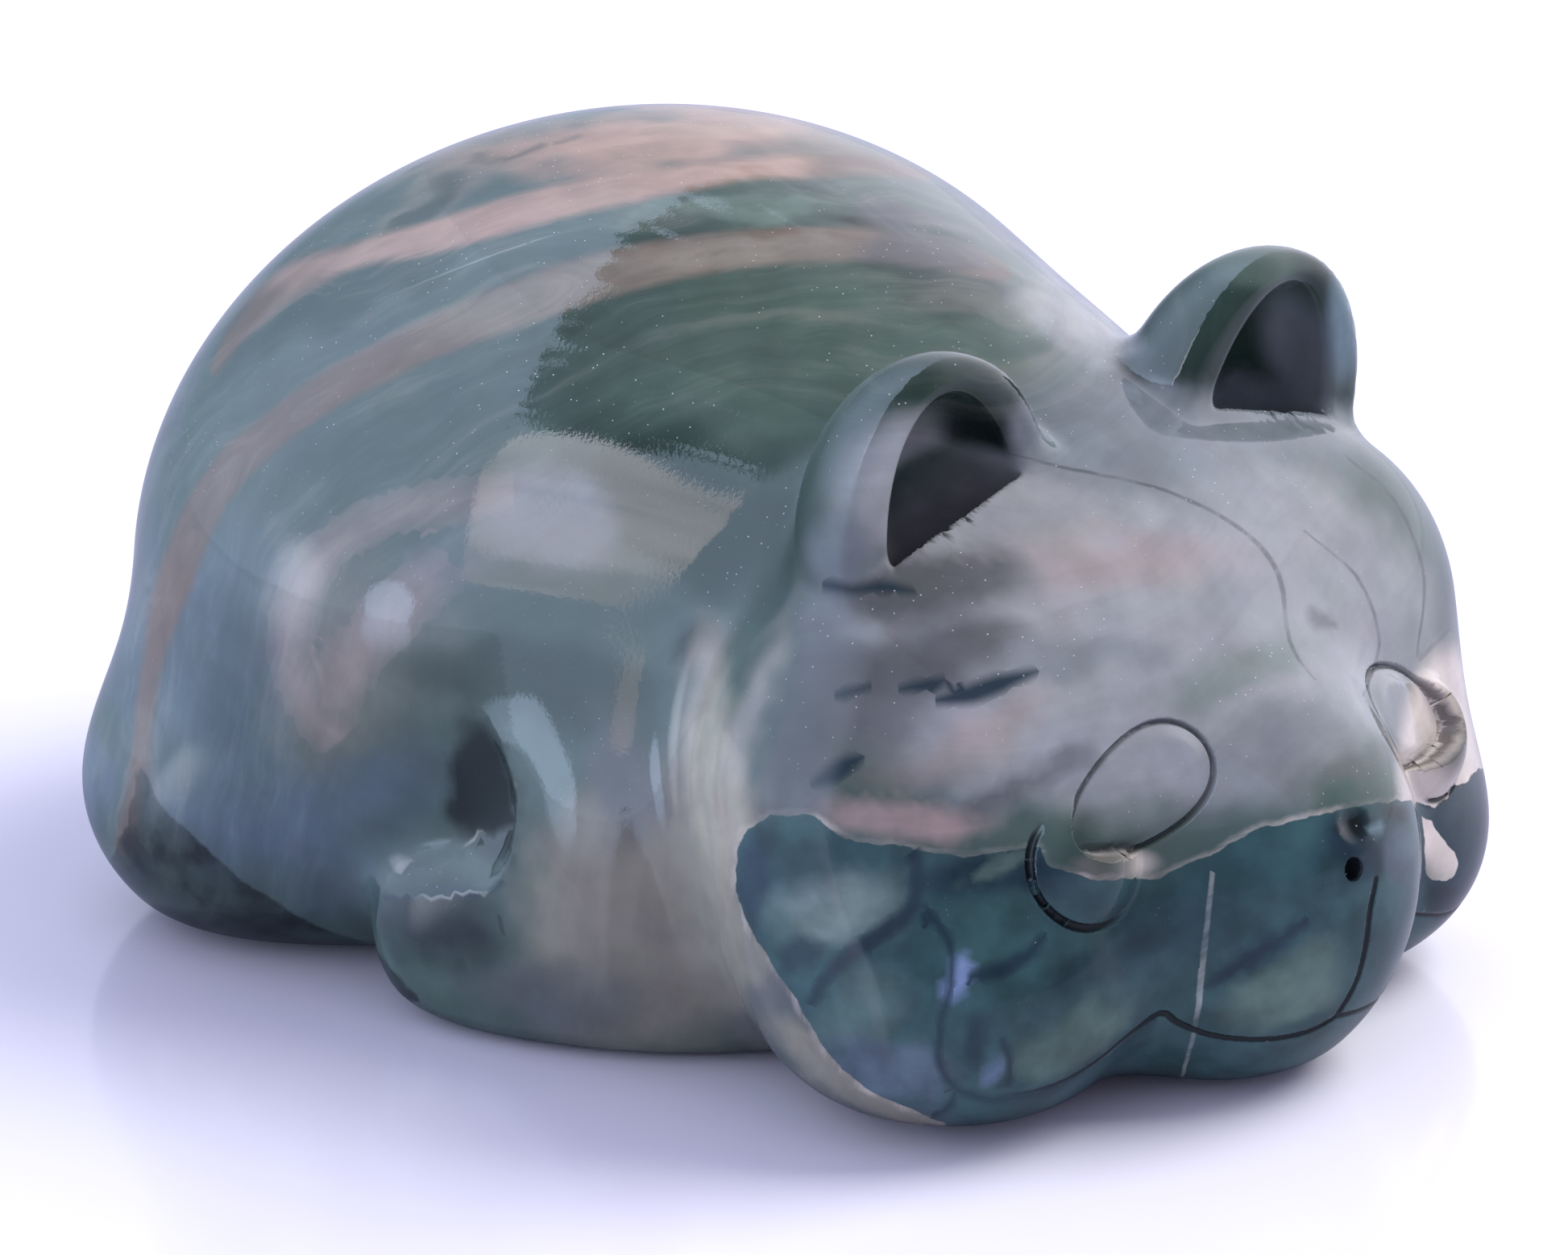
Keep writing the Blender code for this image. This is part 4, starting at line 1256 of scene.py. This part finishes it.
    def mark(self, tree: bpy.types.NodeTree, place: bpy.types.NodeSocket, stored: dict,
             noises: dict) -> bpy.types.NodeSocket:
        """Lay the markings over the stone's ground colour, shade them and vary their tint.

        Args:
            tree: the material's node tree.
            place: the place on the piece.
            stored: the outputs of each of the piece's own values.
            noises: the noises under their names.

        Returns:
            The stone's colour.
        """
        colour = stored["ground"]["Color"]
        for trait in self.traits:
            wobble = noises.get(trait.wobble, 0.0)
            depth = add_node(tree, "Math", {"operation": "ADD"}, stored[trait.reads]["Fac"], wobble).outputs[0]
            if trait.line:
                half = add_node(tree, "Attribute", {"attribute_name": trait.reads + "_half"}).outputs["Fac"]
                away = add_node(tree, "Math", {"operation": "ABSOLUTE"}, depth).outputs[0]
                depth = add_node(tree, "Math", {"operation": "SUBTRACT"}, half, away).outputs[0]
            inside = add_node(tree, "MapRange", SMOOTH, depth, *trait.edge).outputs[0]
            shows = add_node(tree, "MapRange", SMOOTH, noises[trait.patchy], *trait.shows).outputs[0]
            cover = add_node(tree, "Math", {"operation": "MULTIPLY"}, inside, shows).outputs[0]
            plain = isinstance(trait.colour, Shade)
            over = linear(trait.colour.value) if plain else stored[trait.colour]["Color"]
            colour = add_node(tree, "Mix", {"data_type": "RGBA", 0: cover, 6: colour, 7: over}).outputs[2]
        for source, ends, depth, amounts in self.shading:
            swing = add_node(tree, "MapRange", SMOOTH, noises[source], *ends).outputs[0]
            strength = add_node(tree, "MapRange", SMOOTH, stored[depth]["Fac"], *amounts).outputs[0]
            lightness = add_node(tree, "Math", {"operation": "MULTIPLY_ADD"}, swing, strength, 1.0).outputs[0]
            colour = add_node(tree, "Mix", {"data_type": "RGBA", "blend_type": "MULTIPLY", 0: 1.0, 6: colour,
                                            7: lightness}).outputs[2]
        tint = add_node(tree, "TexNoise", {"Scale": 1.0 / (self.tint_mm * MM), "Detail": self.tint_detail,
                                           "Vector": place}).outputs["Color"]
        return add_node(tree, "Mix", {"data_type": "RGBA", "blend_type": "SOFT_LIGHT", 0: self.tint_share,
                                      6: colour, 7: tint}).outputs[2]

    def lay_dust(self, tree: bpy.types.NodeTree, place: bpy.types.NodeSocket,
                 drifts: bpy.types.NodeSocket) -> bpy.types.NodeSocket:
        """Scatter specks of dust in drifts on the faces that look upward.

        Args:
            tree: the material's node tree.
            place: the place on the piece.
            drifts: the noise that says where dust lies.

        Returns:
            How much dust covers the stone.
        """
        speck = add_node(tree, "TexVoronoi", {"Scale": 1.0 / (self.dust_apart_mm * MM),
                                              "Vector": place}).outputs["Distance"]
        normal = add_node(tree, "NewGeometry").outputs["Normal"]
        upward = add_node(tree, "SeparateXYZ", {0: normal}).outputs["Z"]
        dust = self.dust_share
        edge = self.dust_radius, self.dust_radius * self.dust_soft
        for source, ends in ((speck, edge), (upward, self.dust_upward), (drifts, self.dust_drifts)):
            part = add_node(tree, "MapRange", SMOOTH, source, *ends).outputs[0]
            dust = add_node(tree, "Math", {"operation": "MULTIPLY"}, dust, part).outputs[0]
        return dust


@dataclass
class PandaCarving:
    """The whole carving: one piece of stone, roughed out, drawn onto its form and cut."""

    carving: Carving = field(default_factory=Carving)
    markings: Markings = Markings()
    finish: PolishedJade = PolishedJade()
    middle: float = 4.305
    ear_root: float = 1.3
    ear_start: float = 0.3
    blank_voxel: float = 0.7
    skin_voxel: float = 0.6
    quick_voxel: float = 0.85
    refining: tuple = ((1.4, 0.38), (0.8, 0.24), (0.45, 0.16))
    refined_margin: float = 1.5
    floor_block: float = 160.0
    level: float = 0.002
    first_settling: tuple[int, float] = (4, 0.6)
    cut_settling: tuple[int, float] = (2, 0.5)
    fine_settling: tuple[int, float] = (1, 0.4)

    def add_blank(self) -> bpy.types.Object:
        """Add every ball of the body, head and ears and join them."""
        form = self.carving.form
        balls = []
        for mass in (form.torso, form.skull) + form.body() + form.head():
            for side in tuple(Side) if mass.centre[0] else (Side.NEAR,):
                balls.append(mass.add_ball(side))
        for side in Side:
            ear = form.ear.add_ball(side)
            form.ear_front.cut(ear, side, 0.0)
            balls.append(ear)
        deselect_all()
        for ball in balls:
            ball.select_set(True)
        bpy.context.view_layer.objects.active = balls[0]
        bpy.ops.object.join()
        return bpy.context.object

    def skin(self, piece: bpy.types.Object, voxel: float) -> None:
        """Merge a piece's overlapping balls into one even skin."""
        make_active(piece)
        modifier = piece.modifiers.new("skin", "REMESH")
        modifier.mode = "VOXEL"
        modifier.voxel_size = voxel * MM
        bpy.ops.object.modifier_apply(modifier="skin")

    def take_out(self, piece: bpy.types.Object, cutter: bpy.types.Object) -> None:
        """Cut a piece by another, which is used up."""
        make_active(piece)
        modifier = piece.modifiers.new("cut", "BOOLEAN")
        modifier.operation = "DIFFERENCE"
        modifier.solver = "EXACT"
        modifier.object = cutter
        bpy.ops.object.modifier_apply(modifier="cut")
        bpy.data.objects.remove(cutter, do_unlink=True)

    def rough_out(self) -> bpy.types.Object:
        """Cut the blank flat below and scoop its ears."""
        form = self.carving.form
        piece = self.add_blank()
        self.skin(piece, self.blank_voxel)
        deselect_all()
        block = self.floor_block * MM
        bpy.ops.mesh.primitive_cube_add(size=block, location=(0.0, 0.0, -0.5 * block))
        bpy.ops.object.transform_apply(location=True, rotation=True, scale=True)
        self.take_out(piece, bpy.context.object)
        for side in Side:
            scoop = form.ear_scoop.add_ball(side)
            form.ear_front.cut(scoop, side, form.ear_front.scoop_opening)
            self.take_out(piece, scoop)
        self.skin(piece, self.skin_voxel)
        self.triangulate(piece)
        return piece

    def triangulate(self, piece: bpy.types.Object) -> None:
        """Split every face into triangles."""
        make_active(piece)
        bpy.ops.object.mode_set(mode="EDIT")
        bpy.ops.mesh.select_all(action="SELECT")
        bpy.ops.mesh.quads_convert_to_tris(quad_method="SHORTEST_DIAGONAL")
        bpy.ops.object.mode_set(mode="OBJECT")

    @staticmethod
    def places(mesh: bpy.types.Mesh) -> Points:
        """A mesh's vertices, in mm."""
        flat = np.empty(3 * len(mesh.vertices))
        mesh.vertices.foreach_get("co", flat)
        return flat.reshape(-1, 3) / MM

    @staticmethod
    def put_places(mesh: bpy.types.Mesh, points: Points) -> None:
        """Move a mesh's vertices to places given in mm."""
        mesh.vertices.foreach_set("co", (points * MM).ravel())
        mesh.update()

    @staticmethod
    def edges_of(mesh: bpy.types.Mesh) -> Points:
        """The two vertices of each edge of a mesh."""
        flat = np.empty(2 * len(mesh.edges), int)
        mesh.edges.foreach_get("vertices", flat)
        return flat.reshape(-1, 2)

    @staticmethod
    def draw_onto(field_at: Field, points: Points, rounds: int) -> Points:
        """Move points along a field's slope until they lie on its surface.

        Args:
            field_at: the field whose surface is wanted.
            points: places near it, in mm.
            rounds: how often each point is moved.

        Returns:
            The moved points.
        """
        least_steep, stride = 0.25, 1.0
        for _ in range(rounds):
            here = field_at(points)
            slope = slope_of(field_at, points, here)
            steep = np.maximum((slope ** 2).sum(1), least_steep)
            step = here[:, None] * slope / steep[:, None]
            size = np.linalg.norm(step, axis=1, keepdims=True) + 1e-12
            points = points - step * np.minimum(1.0, stride / size)
        return points

    def settle(self, mesh: bpy.types.Mesh, field_at: Field, rounds: int, amount: float,
               chosen: Optional[Points] = None) -> None:
        """Draw vertices onto a field's surface, evenly spaced.

        Args:
            mesh: the mesh whose vertices move.
            field_at: the field whose surface they go to.
            rounds: how often their spacing is evened out.
            amount: how far each goes towards the middle of its neighbours.
            chosen: a flag for each vertex that may move, or None for all.
        """
        points, edges = self.places(mesh), self.edges_of(mesh)
        chosen = np.ones(len(points), bool) if chosen is None else chosen
        points[chosen] = self.draw_onto(field_at, points[chosen], 3)
        for _ in range(rounds):
            total, count = np.zeros_like(points), np.zeros(len(points))
            for one, other in ((edges[:, 0], edges[:, 1]), (edges[:, 1], edges[:, 0])):
                for axis in range(3):
                    total[:, axis] += np.bincount(one, points[other, axis], len(points))
                count += np.bincount(one, minlength=len(points))
            pull = (total / count[:, None] - points)[chosen]
            normal = slope_of(field_at, points[chosen])
            normal /= np.linalg.norm(normal, axis=1, keepdims=True) + TINY
            slid = points[chosen] + amount * (pull - normal * (pull * normal).sum(1, keepdims=True))
            points[chosen] = self.draw_onto(field_at, slid, 2)
        self.put_places(mesh, points)

    def drill_nostril(self, mesh: bpy.types.Mesh) -> None:
        """Sink the vertices over the nostril straight down the drill's way."""
        points = self.places(mesh)
        self.put_places(mesh, points - self.carving.nostril_hole(points)[:, None] * self.carving.aim)

    def refine(self, piece: bpy.types.Object, reach: float, length: float) -> None:
        """Halve the edges beside the fine cuts.

        Args:
            piece: the carving.
            reach: how near to a cut an edge is halved, in mm.
            length: the length over which an edge is halved, in mm.
        """
        mesh = piece.data
        points, edges = self.places(mesh), self.edges_of(mesh)
        middles = 0.5 * (points[edges[:, 0]] + points[edges[:, 1]])
        lengths = np.linalg.norm(points[edges[:, 0]] - points[edges[:, 1]], axis=1)
        chosen = (self.carving.detail_distance(middles) < reach) & (lengths > length)
        make_active(piece)
        bpy.context.tool_settings.mesh_select_mode = (False, True, False)
        bpy.ops.object.mode_set(mode="EDIT")
        bpy.ops.mesh.select_all(action="DESELECT")
        bpy.ops.object.mode_set(mode="OBJECT")
        mesh.edges.foreach_set("select", chosen)
        bpy.ops.object.mode_set(mode="EDIT")
        bpy.ops.mesh.subdivide(number_cuts=1)
        bpy.ops.object.mode_set(mode="OBJECT")
        self.triangulate(piece)
        near = self.carving.detail_distance(self.places(mesh)) < self.refined_margin * reach
        self.settle(mesh, self.carving.distance, *self.fine_settling, near)

    def finish_mesh(self, piece: bpy.types.Object) -> None:
        """Mark the mesh, level its underside, keep it in the solid's box and shade it by the form's normals."""
        mesh = piece.data
        points = self.places(mesh)
        normals = slope_of(self.carving.distance, points)
        normals /= np.linalg.norm(normals, axis=1, keepdims=True)
        outside = self.carving.form.without_ears(points, mirrored(points))
        on_ear = smooth_step(outside / self.ear_root - self.ear_start)
        self.markings.write_to(mesh, points - np.array([0.0, self.middle, 0.0]), on_ear)
        # The depth of the fine cuts, for the dirt and the painted shade laid in them
        self.markings.store(mesh, "dirt_and_shade", self.carving.fine_cuts(points))
        low, high = (np.array(corner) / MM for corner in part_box(NODE))
        points[points[:, 2] < self.level, 2] = 0.0
        points[:, 1] -= self.middle
        self.put_places(mesh, np.clip(points, low, high))
        make_active(piece)
        bpy.ops.object.shade_smooth()
        mesh.normals_split_custom_set_from_vertices([tuple(n) for n in normals])

    def build(self) -> bpy.types.Object:
        """Carve the piece and dress it.

        Returns:
            The finished piece.
        """
        piece = self.rough_out()
        piece.name = piece.data.name = "panda_stone"
        LOG.info("roughed out: %d faces", len(piece.data.polygons))
        self.settle(piece.data, self.carving.form.distance, *self.first_settling)
        self.drill_nostril(piece.data)
        self.settle(piece.data, self.carving.distance, *self.cut_settling)
        for reach, length in self.refining:
            self.refine(piece, reach, length)
        self.finish_mesh(piece)
        piece.data.materials.clear()
        piece.data.materials.append(self.finish.make())
        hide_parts(NODE)
        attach(piece, "root")
        LOG.info("carving: %d faces", len(piece.data.polygons))
        return piece


@dataclass(frozen=True)
class Glow:
    """A round light in the surround: the way to it, its outer and inner reach as cosines, and its light."""

    faces: tuple[float, float, float]
    outer: float
    inner: float
    light: tuple[float, float, float]
    blend: str = "ADD"


@dataclass(frozen=True)
class Studio:
    """A pale floor in a soft white surround, with one window on the near side."""

    floor_size: float = 6.0
    floor_roughness: float = 0.12
    floor_ior: float = 1.49
    floor_colour: str = "f4f3ff"
    floor_in_stone: str = "9c9cae"
    surround: tuple[float, float, float] = (2.0, 2.5, 3.3)
    surround_faces: tuple[float, float, float] = (-0.356, 0.925, -0.132)
    surround_edge: tuple[float, float] = (0.138, 0.146)
    ragged_noise: tuple[float, float] = (24.0, 1.0)
    ragged_reach: float = 0.16
    dim: tuple[float, float, float] = (0.14, 0.15, 0.19)
    behind: tuple[float, float, float] = (0.70, 0.64, -0.326)
    behind_fades: tuple[float, float, float, float] = (0.0, 0.95, 1.0, 0.13)
    glows: tuple = (Glow((0.98, 0.0, 0.17), 0.45, 1.0, (1.3, 1.3, 1.5), "MIX"),
                    Glow((-0.982, 0.16, 0.06), 0.9885, 0.9925, (2.3, 3.0, 4.0)),
                    Glow((-0.982, 0.16, 0.02), 0.9955, 0.9999, (2.6, 2.8, 3.0)),
                    Glow((-0.80, 0.590, 0.07), 0.978, 0.9995, (3.4, 3.5, 3.9)))
    window: tuple = ((-0.499, -0.067, 0.864), (-0.735, -0.016, 0.678), (-0.965, -0.133, 0.228),
                     (-0.955, -0.212, 0.215), (-0.920, -0.222, 0.325))
    window_soft: float = 0.004
    window_light: tuple[float, float, float] = (5.3, 5.3, 5.9)
    window_dull: tuple[float, float, float] = (3.2, 3.3, 3.8)
    sky_noise: tuple[float, float] = (3.5, 3.0)
    sky_ends: tuple[float, float] = (0.4, 0.6)
    ambient: tuple[float, float, float] = (0.60, 0.58, 0.80)
    backdrop: tuple[float, float, float] = (1.0, 1.0, 1.0)
    key_place: tuple[float, float, float] = (0.42, -0.30, 0.62)
    key_aim: tuple[float, float, float] = (0.0, 0.0, 0.01)
    key_size: float = 0.5
    key_power: float = 6.1
    key_colour: tuple[float, float, float] = (1.0, 0.98, 0.92)

    def add_floor(self) -> None:
        """Lay the pale, slightly glossy floor, which the stone mirrors more darkly than the camera sees it."""
        deselect_all()
        bpy.ops.mesh.primitive_plane_add(size=self.floor_size)
        floor = bpy.context.object
        floor.name = floor.data.name = "studio_floor"
        # Cast acrylic sheet: a smooth white face with a faint, slightly soft reflection
        board = bpy.data.materials.new("white_acrylic_board")
        board.use_nodes = True
        tree = board.node_tree
        shader = tree.nodes["Principled BSDF"]
        mirrored_ray = add_node(tree, "LightPath").outputs["Is Glossy Ray"]
        tone = add_node(tree, "Mix", {"data_type": "RGBA", 0: mirrored_ray, 6: linear(self.floor_colour),
                                      7: linear(self.floor_in_stone)}).outputs[2]
        tree.links.new(tone, shader.inputs["Base Color"])
        shader.inputs["Roughness"].default_value = self.floor_roughness
        shader.inputs["IOR"].default_value = self.floor_ior
        floor.data.materials.append(board)

    def add_key_light(self) -> None:
        """Add the one soft light, which shows in no reflection."""
        data = bpy.data.lights.new("key_softbox", "AREA")
        data.shape, data.size = "SQUARE", self.key_size
        data.energy, data.color = self.key_power, self.key_colour
        light = bpy.data.objects.new("key_softbox", data)
        bpy.context.collection.objects.link(light)
        light.location = self.key_place
        away = Vector(self.key_place) - Vector(self.key_aim)
        light.rotation_euler = away.to_track_quat("Z", "Y").to_euler()
        light.visible_glossy = False

    def add_window(self, tree: bpy.types.NodeTree, way: bpy.types.NodeSocket) -> bpy.types.NodeSocket:
        """Open the window in the surround.

        Args:
            tree: the world's node tree.
            way: the direction looked in.

        Returns:
            A socket that is 1 inside the window.
        """
        middle = sum((Vector(corner) for corner in self.window), Vector())
        # No direction's cosine is over 1, so the lowest one starts there
        inside = 1.0
        for first, second in zip(self.window, self.window[1:] + self.window[:1]):
            side = Vector(first).cross(Vector(second)).normalized()
            side = side if side.dot(middle) > 0 else -side
            dot = add_node(tree, "VectorMath", {"operation": "DOT_PRODUCT"}, way, side).outputs["Value"]
            inside = add_node(tree, "Math", {"operation": "MINIMUM"}, inside, dot).outputs[0]
        return add_node(tree, "MapRange", SMOOTH, inside, -self.window_soft, self.window_soft).outputs[0]

    def add_surround(self) -> None:
        """Light the scene from a white surround behind and to the near side, open and dim in front."""
        world = bpy.data.worlds.new("soft_white_surround")
        bpy.context.scene.world = world
        world.use_nodes = True
        tree = world.node_tree
        tree.nodes.clear()
        way = add_node(tree, "TexCoord").outputs["Generated"]
        noises = [add_node(tree, "TexNoise", {"Scale": scale, "Detail": detail, "Vector": way}).outputs["Fac"]
                  for scale, detail in (self.ragged_noise, self.sky_noise)]
        ahead = [add_node(tree, "VectorMath", {"operation": "DOT_PRODUCT"}, way, faces).outputs["Value"]
                 for faces in (self.surround_faces, self.behind)]
        edge = add_node(tree, "Math", {"operation": "MULTIPLY_ADD"}, noises[0], self.ragged_reach,
                        ahead[0]).outputs[0]
        bright = add_node(tree, "MapRange", SMOOTH, edge, *self.surround_edge).outputs[0]
        colour = add_node(tree, "Mix", {"data_type": "RGBA", 0: bright, 6: self.dim + (1.0,),
                                        7: self.surround + (1.0,)}).outputs[2]
        fading = add_node(tree, "MapRange", SMOOTH, ahead[1], *self.behind_fades).outputs[0]
        colour = add_node(tree, "Mix", {"data_type": "RGBA", "blend_type": "MULTIPLY", 0: 1.0, 6: colour,
                                        7: fading}).outputs[2]
        for glow in self.glows:
            near = add_node(tree, "VectorMath", {"operation": "DOT_PRODUCT"}, way, glow.faces).outputs["Value"]
            near = add_node(tree, "MapRange", SMOOTH, near, glow.outer, glow.inner).outputs[0]
            colour = add_node(tree, "Mix", {"data_type": "RGBA", "blend_type": glow.blend, 0: near, 6: colour,
                                            7: glow.light + (1.0,)}).outputs[2]
        sky = add_node(tree, "MapRange", SMOOTH, noises[1], *self.sky_ends).outputs[0]
        pane = add_node(tree, "Mix", {"data_type": "RGBA", 0: sky, 6: self.window_dull + (1.0,),
                                      7: self.window_light + (1.0,)}).outputs[2]
        colour = add_node(tree, "Mix", {"data_type": "RGBA", 0: self.add_window(tree, way), 6: colour,
                                        7: pane}).outputs[2]
        rays = add_node(tree, "LightPath").outputs
        for kind, light in (("Is Diffuse Ray", self.ambient), ("Is Camera Ray", self.backdrop)):
            colour = add_node(tree, "Mix", {"data_type": "RGBA", 0: rays[kind], 6: colour,
                                            7: light + (1.0,)}).outputs[2]
        background = add_node(tree, "Background", {"Color": colour})
        add_node(tree, "OutputWorld", {"Surface": background.outputs[0]})

    def build(self) -> None:
        """Set up floor, surround and light."""
        self.add_floor()
        self.add_surround()
        self.add_key_light()
        view = bpy.context.scene.view_settings
        view.view_transform, view.look = "Standard", "None"


def main() -> None:
    """Build the carving, the studio and the camera, and note the sizes."""
    logging.basicConfig(level=logging.INFO, format="%(message)s")
    piece = PandaCarving().build()
    LOG.info("built %s", piece.name)
    Studio().build()
    Viewpoint().add_camera()


if __name__ == "__main__":
    main()
